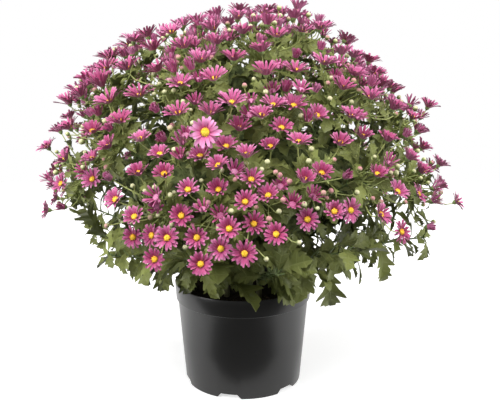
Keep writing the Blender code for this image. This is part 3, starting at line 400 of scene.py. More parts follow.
def head_at(points, near, k):
    """The flower head whose top is a corner, with the numbers of its corners, or None."""
    ring = sorted(near[k])
    middle = points[ring].mean(axis=0)
    edges = sorted(norm(points[ring] - points[k], axis=1))
    if len(ring) == 3 and alike(edges) and abs(edges[0] - DISC_EDGE) < EDGE_MATCH:
        kind, star = "open", set().union(*(near[r] for r in ring)) - set(ring) - {k}
        out = unit(points[k] - middle)
    elif len(ring) == 8 and alike(edges[:4]) and alike(edges[4:]) and edges[4] > 1.8 * edges[0]:
        kind, star = "half_open", set(ring)
        out = unit(middle - points[k])
    elif len(ring) == 4 and alike(edges) and abs(edges[0] - BUD_EDGE) < EDGE_MATCH:
        kind, star = "bud", set(ring)
        out = unit(points[k] - points[list(star)].mean(axis=0))
    else:
        return None
    calyx = set().union(*(near[s] for s in star)) - star - set(ring) - {k}
    centre = middle if kind == "bud" else points[list(calyx)].mean(axis=0) + out * CALYX_DEPTH
    levers = points[list(star)] - centre
    far = levers[np.argmax(norm(levers, axis=1))]
    side, other = around(out)
    cup = asin(min(1.0, float(unit(far).dot(out))))
    turn = atan2(far.dot(other), far.dot(side))
    radius = float(norm(far))
    head = dict(kind=kind, centre=centre, out=out, radius=radius, cup=cup, turn=turn)
    return head, {k, *ring, *star, *calyx}


def read_spray(node):
    """A spray's flower heads, and the foot and hub of its stalks."""
    points, near = corners_of(node)
    heads, used = [], set()
    for k in range(len(points)):
        found = head_at(points, near, k)
        if found:
            heads.append(found[0])
            used |= found[1]
    rest = points[sorted(set(range(len(points))) - used)]
    middle = np.median(rest, axis=0)
    order = np.argsort(norm(rest - middle, axis=1))
    hub = rest[order[:-3]].mean(axis=0)
    foot = rest[order[-3:]].mean(axis=0)
    return {"node": node, "heads": heads, "hub": hub, "foot": foot}


def read_leaves(node):
    """The leaves of a CAD leafy plant: their foot, their way, their face and their length."""
    points, near = corners_of(node)
    tree = KDTree(len(points))
    for k, point in enumerate(points):
        tree.insert(point, k)
    tree.balance()
    found = []
    for k, point in enumerate(points):
        for _, other, away in tree.find_range(point, LEAF_THICKNESS * 1.01):
            edge = near[k] & near[other]
            if other <= k or away < LEAF_THICKNESS * 0.99 or len(edge) < 8:
                continue
            middle = (point + points[other]) / 2
            levers = points[sorted(edge)] - middle
            tip = levers[np.argmax(norm(levers, axis=1))]
            face = unit(point - points[other])
            if face.dot(tip) > 0:
                face = -face
            length = norm(tip) / hypot(1 - SOLID_LEAF_MIDDLE, SOLID_LEAF_FALL)
            along = unit(tip + face * SOLID_LEAF_FALL * length)
            start = middle - along * SOLID_LEAF_MIDDLE * length - face * SOLID_LEAF_CROWN * length
            found.append(dict(start=start, along=along, face=face, length=length))
    return found


def cutting_spot(cutting):
    if cutting == 0:
        return np.zeros(3)
    return CUTTING_RING * level(tau * (cutting - 1) / OUTER_CUTTINGS)


def trunk_point(cutting, height):
    """The middle of a cutting's main stem at a height, as in the CAD part."""
    lean = max(height - SOIL_EDGE_HEIGHT, 0) / (TRUNK_TOP - SOIL_EDGE_HEIGHT)
    return cutting_spot(cutting) * (1 + TRUNK_LEAN * lean) + UP * height


def branch_curve(cutting, number, spray):
    """The steering points of the branch that carries a spray."""
    out = unit(spray["hub"] - spray["foot"])
    base = spray["foot"] - out * TOUCH
    start = trunk_point(cutting, TRUNK_TOP - FIRST_BRANCH_DROP - BRANCH_STEP * number)
    return [start, base - out * BRANCH_RISE, base]


def shoot_curves():
    """The low leafy shoots of the CAD part, as (cutting, steering points)."""
    rng = np.random.default_rng(SHOOT_SEED)
    found = []
    for cutting in range(1, OUTER_CUTTINGS + 1):
        middle = tau * (cutting - 1) / OUTER_CUTTINGS
        for half in (-1, 1):
            start = trunk_point(cutting, SHOOT_HEIGHT + SHOOT_STAGGER * half)
            out = level(middle + half * rng.uniform(0.20, 0.34))
            reach = rng.uniform(*SHOOT_REACH)
            if cutting == 1 and half == -1:
                reach = LONG_SHOOT_REACH
            end = out * reach + UP * rng.uniform(*SHOOT_END)
            bend = (start + end) / 2 + UP * SHOOT_ARCH
            found.append((cutting, [start, bend, end]))
    return found


# Flower heads

def add_petals(piece, head, count, cup, share, rng, arch=0.0010, belly=0.0, width=1.0, turn=0.0):
    """One whorl of petals, as thin closed blades with notched tips."""
    out, column = head["out"], (count, 1)
    angles = np.arange(count) + rng.uniform(-PETAL_SPREAD, PETAL_SPREAD, count)
    away = circle(head["turn"] + turn + tau * angles / count, *around(out))
    across = np.cross(out, away)
    reach = head["radius"] * share * rng.uniform(0.86, 1.0, count)[:, None]
    lift = (cup + rng.uniform(-PETAL_SPREAD, PETAL_SPREAD, count))[:, None]
    t = PETAL_ROWS[None]
    bow = 4 * t * (1 - t)
    flat = PETAL_FOOT + (reach * np.cos(lift) - PETAL_FOOT) * t + belly * bow
    rise = -PETAL_FOOT_DROP + (reach * np.sin(lift) + PETAL_FOOT_DROP) * t
    rise = rise + (arch + rng.uniform(-0.0007, 0.0010, column)) * bow
    sway = reach * rng.uniform(-0.06, 0.06, column) * t**2
    middle = head["centre"] + away[:, None] * flat[..., None] + out * rise[..., None]
    middle = middle + across[:, None] * sway[..., None]
    way = unit(np.gradient(middle, axis=1))
    above = unit(np.cross(way, across[:, None]))
    twist = (rng.uniform(-0.7, 0.7, column) * t)[..., None]
    sideways = across[:, None] * np.cos(twist) + above * np.sin(twist)
    above = np.cross(way, sideways)
    widths = PETAL_WIDTH * width / 2 * PETAL_WIDTHS
    half = (widths * rng.uniform(0.88, 1.08, column))[..., None]
    channel = above * half * 0.26
    body = above * PETAL_THICKNESS / 2
    rows = len(PETAL_ROWS)
    last = (np.arange(rows) == rows - 1)[None, :, None]
    notch = way * last * reach[..., None] * 0.035
    left, right = middle + sideways * half + channel, middle - sideways * half + channel
    rings = np.stack([left, middle + body - notch, right, middle - body - notch], axis=2)
    grain = np.stack(np.broadcast_arrays(PETAL_ROWS[:, None], (1.0, 0.5, 0.0, 0.5)), axis=-1)
    tones = head["tone"] + rng.uniform(-0.22, 0.22, count)
    piece.add(rings, PETAL, grain, np.clip(tones, 0, max(1, head["tone"])), (0, 0, 0, 1))


def add_disc(piece, head, lift, rng):
    """The green cup under a bloom and the yellow dome of florets on it."""
    out, centre = head["out"], head["centre"]
    wide = DISC_RADIUS * (LARGE_DISC_SHARE if head.get("large") else DISC_SHARE)
    dome = [(share * wide, lift + height) for share, height in DOME_PROFILE]
    rings = lathe_rings([*CALYX_PROFILE, *dome], centre, out, 8)
    piece.add(rings, [CALYX] * 3 + [DISC] * 5, tone=head["tone"])
    reach = wide * 0.93 * np.sqrt((np.arange(FLORETS) + 0.5) / FLORETS)
    away = circle(GOLDEN_ANGLE * np.arange(FLORETS) + head["turn"], *around(out))
    height = lift + 0.0024 * (1 - (reach / wide) ** 2) + 0.0005
    place = centre + away * reach[:, None] + out * height[:, None]
    way = unit(out + away * (0.9 * reach / wide)[:, None])
    across = np.cross(way, unit(np.cross(out, away)))
    sides = [across, np.cross(way, across), -across, -np.cross(way, across)]
    size = (0.00042 + 0.00018 * reach / wide)[:, None]
    tall = (0.0008 + 0.0005 * rng.uniform(0, 1, FLORETS))[:, None]
    feet = np.stack([place + one * size for one in sides], axis=1)
    tops = np.stack([place + way * tall + one * size * 0.7 for one in sides], axis=1)
    rings = np.stack([feet, tops], axis=1)
    ends = np.broadcast_to(np.array((0.0, 1.0))[:, None], rings.shape[:3])
    shares = np.broadcast_to((reach / wide)[:, None, None], rings.shape[:3])
    piece.add(rings, DISC, np.stack([ends, shares], axis=-1), head["tone"])


def add_open_bloom(piece, head, rng):
    """Two whorls of petals round a disc, more cupped where the bloom looks up."""
    outer, inner, wide = int(rng.integers(*OUTER_PETALS)), int(rng.integers(*INNER_PETALS)), 1.0
    if head.get("large"):
        (outer, inner), wide = LARGE_BLOOM_PETALS, LARGE_PETAL_SHARE
    more = float(np.interp(head["out"][2], *UPPER_CUPS))
    cup = head["cup"] + more * (1.3 - 0.6 * head["tone"])
    whorls = ((outer, OUTER_WHORL, 0.0), (inner, INNER_WHORL, pi / outer))
    for count, (more_cup, share, width), turn in whorls:
        add_petals(piece, head, count, cup + more_cup, share, rng, width=width * wide, turn=turn)
    add_disc(piece, head, DISC_RADIUS * tan(head["cup"]) / 2, rng)


def add_half_open(piece, head, rng):
    """A brush of upright petals in its green cup."""
    for count, more_cup, belly, width, turn in HALF_OPEN_WHORLS:
        add_petals(piece, head, count, head["cup"] + more_cup, 1.0, rng, 0.0, belly, width, turn)
    rings = lathe_rings(HALF_OPEN_PROFILE, head["centre"], head["out"], 9)
    piece.add(rings, [CALYX] * 3 + [PETAL] * 2, tone=head["tone"])


def add_bud(piece, head, rng):
    """A round bud, green at its foot and pale at its top."""
    turn = rng.uniform(0, 1)
    rings = lathe_rings(head["radius"] * BUD_PROFILE, head["centre"], head["out"], 6, turn)
    piece.add(rings, BUD, tone=head["tone"])


def add_stalk(piece, start, end, end_way, radii, bend=None, sides=5, rows=7):
    """A stalk that leaves its start, bends and meets its end along the end's own way."""
    span, way = norm(end - start), unit(end - start)
    first = start + (way if bend is None else unit(way + bend)) * span * STALK_BENDS[0]
    last = end - end_way * span * STALK_BENDS[1]
    path = bezier([start, first, last, end], np.linspace(0, 1, rows))
    piece.add(tube_rings(path, np.linspace(*radii, rows), sides), STEM)


# Leaves

def leaf_rings(leaf, rng):
    """A lobed blade, folded along its midrib, with wavy edges and a drooping tip."""
    length = leaf["length"]
    start, along, face = (np.asarray(leaf[key], float) for key in ("start", "along", "face"))
    side = np.cross(along, face)
    rows = list(leaf.get("rows", range(len(LEAF_ROWS))))
    t = LEAF_ROWS[rows]
    oval = np.sin(pi * t**0.85) ** 0.7
    half = LEAF_HALVES[rows]
    half = half + (oval - half) * rng.uniform(0.08, 0.36)
    half = (half * rng.uniform(0.88, 1.12, len(t))).clip(0.02)
    half = half * leaf.get("width", LEAF_WIDTH) * length
    droop, fold = rng.uniform(0.10, 0.42), rng.uniform(0.05, 0.50)
    phase, wave = rng.uniform(*ANY_TURN), rng.uniform(0.01, 0.035) * length
    sway = rng.uniform(-0.08, 0.08) * length
    columns, body = LEAF_COLUMNS, LEAF_BODY * BLADE_THICKNESS
    if "rows" in leaf:
        columns, body = columns[NARROW_COLUMNS], body[NARROW_COLUMNS]
    reach = np.abs(columns)[None] * half[:, None]
    forward = t[:, None] * length * 0.86 + reach * 0.55
    rise = 0.06 * length * np.sin(pi * t) - droop * length * t**2
    rise = rise[:, None] + reach * fold + body
    ripple = np.sin(tau * 2.2 * t[:, None] + phase + columns)
    rise += wave * np.abs(columns) * ripple
    rise -= droop * reach**2 / length
    offset = columns * half[:, None] + sway * t[:, None] ** 2
    rings = start + along * forward[..., None] + side * offset[..., None] + face * rise[..., None]
    return rings, np.stack(np.broadcast_arrays(t[:, None], (columns + 1) / 2), axis=-1)


def add_leaf(piece, leaf, rng):
    """A leaf, with its stalk where it is given the root of one."""
    rings, grain = leaf_rings(leaf, rng)
    under = np.arange(rings.shape[1]) == rings.shape[1] - 1
    # Painted shade: a leaf low in the bush is painted darker by its height
    tone = rng.uniform(0, 1) * np.interp(leaf["start"][2], *LEAF_SHADE_BY_HEIGHT)
    piece.add(rings, LEAF, grain, min(1, tone + leaf.get("light", 0)), under)
    if "root" in leaf:
        start = leaf["start"] + leaf["along"] * leaf["length"] * 0.02
        radii = (PETIOLE_RADIUS * 1.5, PETIOLE_RADIUS)
        count = 3 if "rows" in leaf else 4
        add_stalk(piece, leaf["root"], start, leaf["along"], radii, sides=count, rows=count)


class Bush:
    """How far the flowers reach from the middle of the dome, in any direction."""

    def __init__(self, sprays):
        heads = [head for spray in sprays for head in spray["heads"] if head["kind"] == "open"]
        levers = np.array([head["centre"] for head in heads]) - DOME_CENTRE
        self.reaches = norm(levers, axis=1)
        self.tree = KDTree(len(levers))
        for k, way in enumerate(unit(levers)):
            self.tree.insert(way, k)
        self.tree.balance()

    def reach(self, way):
        return float(np.mean([self.reaches[k] for _, k, _ in self.tree.find_n(Vector(way), 3)]))

    def depth(self, point):
        """How deep a point is under the flowers."""
        lever = point - DOME_CENTRE
        return self.reach(unit(lever)) - float(norm(lever))


def lowest_leaf(flat, right):
    """How low leaves hang at a distance from the pot's axis, and to its right."""
    gap = 0.044 * exp(-(((right - 0.019) / 0.024) ** 2))
    return LOWEST_LEAF + gap + 0.62 * max(flat - 0.092, 0) - 0.12 * max(right, 0)


def allowed(bush, leaf):
    """Whether a leaf stays under the flowers, above its lowest place and out of the pot."""
    start, along, length = leaf["start"], leaf["along"], leaf["length"]
    tip = start + along * length - leaf["face"] * length * 0.28
    side = np.cross(along, leaf["face"]) * length * 0.33
    middle = start + along * length * 0.55
    for point in (tip, middle + side, middle - side, start):
        flat = hypot(point[0], point[1])
        rise = point[2] - COVER_START
        limit = LEAF_COVER if rise > COVER_RISE else LEAF_COVER * rise / COVER_RISE
        if bush.depth(point) < limit or point[2] < lowest_leaf(flat, point[0]):
            return False
        if point[2] < POT_HEIGHT + POT_CLEAR[1] and flat < RIM_RADIUS + POT_CLEAR[0]:
            return False
    return True


def leaves_along(curve, bush, rng, first, pitch, sizes, droop):
    """Leaves in a spiral up a branch, each kept where it stays inside the bush."""
    path = bezier(curve, np.linspace(0, 1, 60))
    steps = norm(np.diff(path, axis=0), axis=1)
    along_path = np.concatenate([[0], np.cumsum(steps)])
    turn = rng.uniform(*ANY_TURN)
    found = []
    place = along_path[-1] * first
    while place < along_path[-1]:
        k = min(int(np.searchsorted(along_path, place)), len(path) - 2)
        root, way = path[k], unit(path[k + 1] - path[k - 1])
        out = unit(root - DOME_CENTRE + UP * 0.05)
        side, other = around(way)
        for _ in range(LEAF_TRIES):
            turn += GOLDEN_ANGLE + rng.uniform(-0.3, 0.3)
            away = side * cos(turn) + other * sin(turn)
            length = rng.uniform(*sizes)
            start = root + unit(away + 0.5 * way + 0.2 * out) * rng.uniform(0.16, 0.30) * length
            along = away + way * rng.uniform(0.0, 0.6) + out * rng.uniform(-0.1, 0.6)
            along = unit(along - UP * rng.uniform(*droop))
            face = out + UP * rng.uniform(0.5, 1.2)
            face = face + rng.uniform(-0.35, 0.35, 3)
            face = unit(face - along * face.dot(along))
            leaf = dict(root=root, start=start, along=along, face=face, length=length)
            if allowed(bush, leaf):
                found.append(leaf)
                break
        place += pitch * rng.uniform(0.7, 1.3)
    return found


# Materials

class Material:
    """A material under construction, with short ways to add its nodes."""

    def __init__(self, name, roughness, specular, **sockets):
        self.made = bpy.data.materials.new(name)
        self.made.use_nodes = True
        self.tree = self.made.node_tree
        self.body = self.tree.nodes["Principled BSDF"]
        for label, value in {"Roughness": roughness, "Specular IOR Level": specular, **sockets}.items():
            self.body.inputs[label.replace("_", " ")].default_value = value

    def node(self, kind, inputs=(), **settings):
        made = self.tree.nodes.new(kind)
        for label, value in settings.items():
            setattr(made, label, value)
        for label, value in dict(inputs).items():
            self.feed(made.inputs[label], value)
        return made

    def feed(self, socket, value):
        if isinstance(value, bpy.types.NodeSocket):
            self.tree.links.new(value, socket)
        else:
            socket.default_value = value

    def read(self, label):
        """The two values that a piece keeps in one of its maps."""
        source = self.node("ShaderNodeUVMap", uv_map=label)
        parts = self.node("ShaderNodeSeparateXYZ", {"Vector": source.outputs["UV"]})
        return parts.outputs["X"], parts.outputs["Y"]

    def math(self, operation, *values):
        return self.node("ShaderNodeMath", dict(enumerate(values)), operation=operation).outputs[0]

    def times(self, one, two):
        return self.math("MULTIPLY", one, two)

    def away(self, value, place):
        """How far a value is from a place, either way."""
        return self.math("ABSOLUTE", self.math("SUBTRACT", value, place))

    def waves(self, value, pitch):
        return self.math("SINE", self.times(value, pitch))

    def ramp(self, value, low, high):
        """0 below low, 1 above high and smooth between them."""
        inputs = {"Value": value, "From Min": low, "From Max": high}
        made = self.node("ShaderNodeMapRange", inputs, interpolation_type="SMOOTHSTEP")
        return made.outputs["Result"]

    def mix(self, share, one, two, strength=None):
        """A blend of two colours, by a share that a strength may weaken."""
        if strength is not None:
            share = self.times(share, strength)
        made = self.node("ShaderNodeMix", data_type="RGBA")
        for socket, value in zip((made.inputs[0], made.inputs[6], made.inputs[7]), (share, one, two)):
            self.feed(socket, (*value, 1) if isinstance(value, tuple) else value)
        return made.outputs[2]

    def noise(self, scale, detail=3.0, stretch=(1, 1, 1)):
        """Noise in the object's own coordinates, which may be stretched."""
        source = self.node("ShaderNodeTexCoord").outputs["Object"]
        place = self.node("ShaderNodeMapping", {"Vector": source, "Scale": stretch}).outputs["Vector"]
        inputs = {"Vector": place, "Scale": scale, "Detail": detail}
        return self.node("ShaderNodeTexNoise", inputs).outputs["Fac"]

    def roughness(self, value):
        self.feed(self.body.inputs["Roughness"], value)

    def done(self, colour, height, strength, distance):
        """The material with its colour, and bumps of a height field."""
        self.feed(self.body.inputs["Base Color"], colour)
        inputs = {"Height": height, "Strength": strength, "Distance": distance}
        bump = self.node("ShaderNodeBump", inputs).outputs["Normal"]
        self.feed(self.body.inputs["Normal"], bump)
        return self.made


def petal_material():
    """Deep magenta at the foot, pink in the middle, mauve at the tip, with fine veins."""
    mat = Material("pink_petal", 0.55, 0.3, Sheen_Weight=0.15)
    along, across = mat.read("grain")
    tone, under = mat.read("tone")
    deep = mat.mix(tone, (0.205, 0.009, 0.052), (0.290, 0.018, 0.095))
    pink = mat.mix(tone, (0.315, 0.028, 0.122), (0.430, 0.070, 0.220))
    pale = mat.mix(tone, (0.440, 0.105, 0.245), (0.590, 0.262, 0.425))
    whole = mat.mix(mat.ramp(along, 0.10, 0.45), deep, pink)
    whole = mat.mix(mat.ramp(along, 0.55, 1.02), whole, pale)
    whole = mat.mix(mat.ramp(mat.away(across, 0.5), 0.28, 0.50), whole, pale, 0.60)
    stripes = mat.waves(across, 44.0)
    streak = mat.times(mat.ramp(stripes, -0.4, 1.0), 0.48)
    whole = mat.mix(streak, whole, deep)
    back = mat.mix(tone, (0.440, 0.110, 0.250), (0.540, 0.240, 0.390))
    whole = mat.mix(mat.ramp(under, 0.05, 0.6), whole, back, 0.75)
    bright = mat.mix(mat.ramp(along, 0.05, 0.95), (0.530, 0.070, 0.215), (0.700, 0.300, 0.520))
    bright = mat.mix(streak, bright, (0.470, 0.070, 0.230), 0.5)
    return mat.done(mat.mix(mat.ramp(tone, 1.05, 1.6), whole, bright), stripes, 0.25, 0.0002)


def disc_material():
    """Yellow florets, orange at the rim and greenish in the middle of young discs."""
    mat = Material("yellow_disc", 0.7, 0.25)
    height, reach = mat.read("grain")
    tone, _ = mat.read("tone")
    rim = mat.mix(tone, (0.72, 0.250, 0.012), (0.86, 0.420, 0.020))
    middle = mat.mix(tone, (0.80, 0.500, 0.030), (0.72, 0.560, 0.050))
    whole = mat.mix(mat.ramp(reach, 0.45, 0.95), middle, rim)
    # Painted shade: darker brown orange towards the feet of the florets and the foot of the dome, where
    # they crowd
    whole = mat.mix(mat.ramp(height, 0.9, 0.1), whole, (0.45, 0.160, 0.010), 0.5)
    whole = mat.mix(mat.ramp(mat.noise(900.0), 0.4, 0.8), whole, (0.90, 0.620, 0.080))
    return mat.done(whole, mat.noise(1500.0), 0.4, 0.0003)


def stem_material(name, young, old, dark):
    """Green stems, with fine ridges along them and a few darker patches."""
    mat = Material(name, 0.5, 0.35)
    along, across = mat.read("grain")
    whole = mat.mix(along, old, young)
    whole = mat.mix(mat.ramp(mat.noise(90.0), 0.45, 0.75), whole, dark, 0.5)
    return mat.done(whole, mat.math("ADD", mat.waves(across, 62.0), mat.noise(600.0)), 0.3, 0.0003)


def bud_material():
    """Pale buds: green scales at the foot, cream to pink at the top."""
    mat = Material("bud", 0.6, 0.3)
    along, across = mat.read("grain")
    tone, _ = mat.read("tone")
    tip = mat.mix(mat.ramp(tone, 0.62, 0.72), (0.68, 0.660, 0.400), (0.56, 0.240, 0.270))
    whole = mat.mix(mat.ramp(along, 0.35, 0.72), (0.24, 0.310, 0.090), tip)
    scales = mat.waves(across, 50.0)
    whole = mat.mix(mat.ramp(scales, 0.2, 1.0), whole, (0.30, 0.340, 0.140), 0.35)
    return mat.done(whole, mat.math("ADD", scales, mat.noise(700.0)), 0.35, 0.0004)


def leaf_material():
    """Olive green above with paler veins, and grey green below."""
    mat = Material("lobed_leaf", 0.55, 0.28)
    along, across = mat.read("grain")
    tone, under = mat.read("tone")
    edge = mat.away(across, 0.5)
    veins = mat.ramp(edge, 0.055, 0.015)
    for place in LEAF_SIDE_VEINS:
        lateral = mat.times(mat.ramp(mat.away(along, place), 0.022, 0.006), mat.ramp(edge, 0.48, 0.30))
        veins = mat.math("MAXIMUM", veins, lateral)
    green = mat.mix(tone, (0.072, 0.088, 0.021), (0.195, 0.222, 0.060))
    green = mat.mix(mat.ramp(mat.noise(60.0), 0.35, 0.70), green, (0.170, 0.180, 0.050), 0.25)
    green = mat.mix(veins, green, (0.240, 0.260, 0.090), 0.26)
    below = mat.mix(tone, (0.150, 0.170, 0.068), (0.210, 0.235, 0.105))
    mat.roughness(mat.math("ADD", mat.times(mat.noise(300.0), 0.25), 0.40))
    relief = mat.math("ADD", mat.times(veins, -1.0), mat.times(mat.noise(420.0), 0.6))
    return mat.done(mat.mix(mat.ramp(under, 0.1, 0.7), green, below), relief, 0.5, 0.0006)


def painted_shade_core_material():
    """Painted shade for the middle of the bush: dark greens, mottled like leaves in shadow."""
    mat = Material("painted_shade_foliage", 0.8, 0.1)
    leaves = mat.noise(120.0, 4.0)
    # Painted shade: these dark greens stand for the deep shadow in the bush as well as the leaves in it
    whole = mat.mix(mat.ramp(leaves, 0.35, 0.65), (0.036, 0.046, 0.017), (0.125, 0.150, 0.054))
    return mat.done(whole, leaves, 1.0, 0.004)


def plastic_material():
    """Black moulded plastic with a satin surface, faint flow marks and scuffs."""
    mat = Material("black_plastic_satin", 0.30, 0.33)
    flow = mat.noise(9.0, 4.0, (1, 1, 0.25))
    dust = mat.ramp(mat.noise(160.0, 5.0), 0.62, 0.80)
    tint = mat.mix(flow, (0.0125, 0.0123, 0.0120), (0.0160, 0.0157, 0.0153))
    rough = mat.math("ADD", mat.times(flow, 0.10), 0.26)
    mat.roughness(mat.math("ADD", rough, mat.times(dust, 0.15)))
    whole = mat.mix(dust, tint, (0.030, 0.029, 0.026), 0.20)
    return mat.done(whole, mat.noise(900.0, 2.0), 0.10, 0.0002)


def soil_material():
    """Dark damp peat with paler fibres."""
    mat = Material("dark_peat", 0.95, 0.2)
    grains = mat.noise(260.0, 6.0)
    fibres = mat.ramp(mat.noise(500.0, 3.0, (1, 0.2, 1)), 0.60, 0.75)
    tint = mat.mix(grains, (0.007, 0.005, 0.004), (0.045, 0.029, 0.019))
    return mat.done(mat.mix(fibres, tint, (0.110, 0.075, 0.045), 0.6), grains, 0.8, 0.002)


# Pot and soil

def wall_radius(height):
    """The outer radius of the pot's wall under the collar."""
    under_collar = POT_HEIGHT - COLLAR_HEIGHT
    widest = RIM_RADIUS - COLLAR_STEP - COLLAR_TAPER
    return FOOT_RADIUS + (widest - FOOT_RADIUS) * height / under_collar


def rounded(corner, radius, start_deg, end_deg, steps=4):
    """Points on a round about a middle point."""
    angles = np.radians(np.linspace(start_deg, end_deg, steps))
    return [(corner[0] + radius * cos(a), corner[1] + radius * sin(a)) for a in angles]


def pot_profile():
    """The pot's section from the middle of its floor, up inside, over the rim and down outside."""
    collar_foot = POT_HEIGHT - COLLAR_HEIGHT
    collar_radius = RIM_RADIUS - COLLAR_TAPER
    floor_top = CHANNEL_HEIGHT + FLOOR
    inner_foot, inner_top = wall_radius(0) - WALL, wall_radius(collar_foot) - WALL
    lip = WALL / 2
    under = collar_foot - 0.0006
    inside = [
        (CHANNEL_INNER - CHANNEL_EDGE, FLOOR), (CHANNEL_INNER, floor_top),
        (inner_foot - CHANNEL_SLOPE, floor_top),
        (inner_foot, floor_top + 0.002), (inner_top, collar_foot - 0.001),
        (inner_top + COLLAR_STEP, collar_foot + 0.002),
        (RIM_RADIUS - WALL - 0.0004, POT_HEIGHT - 0.003),
    ]
    rim = rounded((RIM_RADIUS - lip, POT_HEIGHT - lip), lip, 180, 0, 7)
    outside = [
        (RIM_RADIUS - 0.0003, POT_HEIGHT - 0.008), (collar_radius, collar_foot + 0.0016),
        (collar_radius - 0.0005, collar_foot + 0.0005), (collar_radius - 0.0014, collar_foot),
        (wall_radius(under) + 0.0004, under + 0.0001), (wall_radius(under), under - 0.0005),
        (wall_radius(MID_WALL), MID_WALL),
    ]
    foot = rounded((wall_radius(FOOT_ROUND) - FOOT_ROUND, FOOT_ROUND), FOOT_ROUND, 0, -90)
    channel = [
        (CHANNEL_OUTER + CHANNEL_SLOPE, 0), (CHANNEL_OUTER, CHANNEL_HEIGHT),
        (CHANNEL_INNER + CHANNEL_SLOPE, CHANNEL_HEIGHT), (CHANNEL_INNER, 0.0002),
        (CHANNEL_INNER - CHANNEL_SLOPE, 0),
    ]
    return [(0.0001, FLOOR)] + inside + rim + outside + foot + channel + [(0.0001, 0)]


def solid(name, rings):
    """A closed mesh object over rings of points, for a Boolean."""
    rings = np.asarray(rings, float)
    rows, sides = rings.shape[:2]
    faces = skin(rows, sides).tolist()
    faces += [tuple(range(sides))[::-1], tuple(range((rows - 1) * sides, rows * sides))]
    mesh = bpy.data.meshes.new(name)
    mesh.from_pydata(rings.reshape(-1, 3).tolist(), [], faces)
    return link(name, mesh)


def turned(profile, sides):
    """Rings of points of a turned shape about the pot's axis."""
    return lathe_rings(profile, np.zeros(3), UP, sides)


def cut_away(body, tools):
    for tool in tools:
        cut = body.modifiers.new(tool.name, "BOOLEAN")
        cut.operation = "DIFFERENCE"
        cut.object = tool
        cut.solver = "MANIFOLD"
        bpy.context.view_layer.objects.active = body
        bpy.ops.object.modifier_apply(modifier=cut.name)
        bpy.data.objects.remove(tool)


def make_pot(finish):
    """The turned shell, with its notches and drain holes cut out."""
    body = solid("pot_fine", turned(pot_profile(), POT_SIDES)[:, ::-1])
    near, far = NOTCH_REACH
    ends = ((-0.004, 1.25 * NOTCH_BASE_WIDTH), (NOTCH_HEIGHT, NOTCH_TOP_WIDTH))
    tools = []
    for k in range(NOTCHES):
        out = level(radians(FIRST_NOTCH_DEG) + tau * k / NOTCHES)
        across = np.array((-out[1], out[0], 0))
        rings = [
            [out * reach + across * (half * width / 2) + UP * height
             for reach, half in ((near, -1), (far, -1), (far, 1), (near, 1))]
            for height, width in ends
        ]
        tools.append(solid(f"notch_{k}", rings))
        if k % 2 == 0:
            middle = out * (CHANNEL_INNER + CHANNEL_OUTER) / 2
            path = [middle + UP * height for height in DRAIN_SPAN]
            tools.append(solid(f"drain_{k}", tube_rings(path, [DRAIN_RADIUS] * 2, 24)))
    cut_away(body, tools)
    body.data.materials.clear()
    body.data.materials.append(finish)
    body.data.shade_smooth()
    body.data.set_sharp_from_angle(angle=radians(32))
    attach(body, "root")
    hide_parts("pot")


def make_soil(finish):
    """The soil with a rough top, and crumbs that lie on it."""
    rng = np.random.default_rng(SOIL_SEED)
    piece = Piece()
    collar_foot = POT_HEIGHT - COLLAR_HEIGHT
    floor_top = CHANNEL_HEIGHT + FLOOR + TOUCH
    edge = wall_radius(collar_foot) - WALL - TOUCH
    below = [
        (0.0005, FLOOR + TOUCH), (CHANNEL_INNER - CHANNEL_EDGE - TOUCH, FLOOR + TOUCH),
        (CHANNEL_INNER - TOUCH, floor_top), (wall_radius(0) - WALL - TOUCH - CHANNEL_SLOPE, floor_top),
        (edge, collar_foot - 0.001), (edge, SOIL_EDGE_HEIGHT - 0.001),
    ]
    shares = np.linspace(0.98, 0.01, SOIL_ROWS)
    top = [(edge * share, SOIL_EDGE_HEIGHT + SOIL_CROWN * (1 - share)) for share in shares]
    rings = turned(below + top, SOIL_SIDES)
    rows = len(below)
    bumps = rng.normal(0, 1, rings.shape[:2])
    bumps = (bumps + np.roll(bumps, 1, 0) + np.roll(bumps, 1, 1)) / 3
    fade = np.linspace(1, 0.1, SOIL_ROWS)[:, None]
    rings[rows:, :, 2] += SOIL_BUMPS * bumps[rows:] * fade.clip(0.3, 1)
    piece.add(rings, 0)
    for _ in range(CRUMBS):
        angle, reach = rng.uniform(*ANY_TURN), edge * sqrt(rng.uniform(0, 0.93))
        size = rng.uniform(0.0010, 0.0030)
        height = SOIL_EDGE_HEIGHT + SOIL_CROWN * (1 - reach / edge)
        axis = unit(rng.normal(0, 1, 3))
        piece.add(lathe_rings(size * CRUMB_PROFILE, reach * level(angle) + UP * height, axis, 5), 0)
    piece.finish("soil_fine", [finish], "potting_soil", ["soil"])


# Sprays and leafy plants

def room_at(spot, taken):
    return min(norm(spot - other) for other in taken)


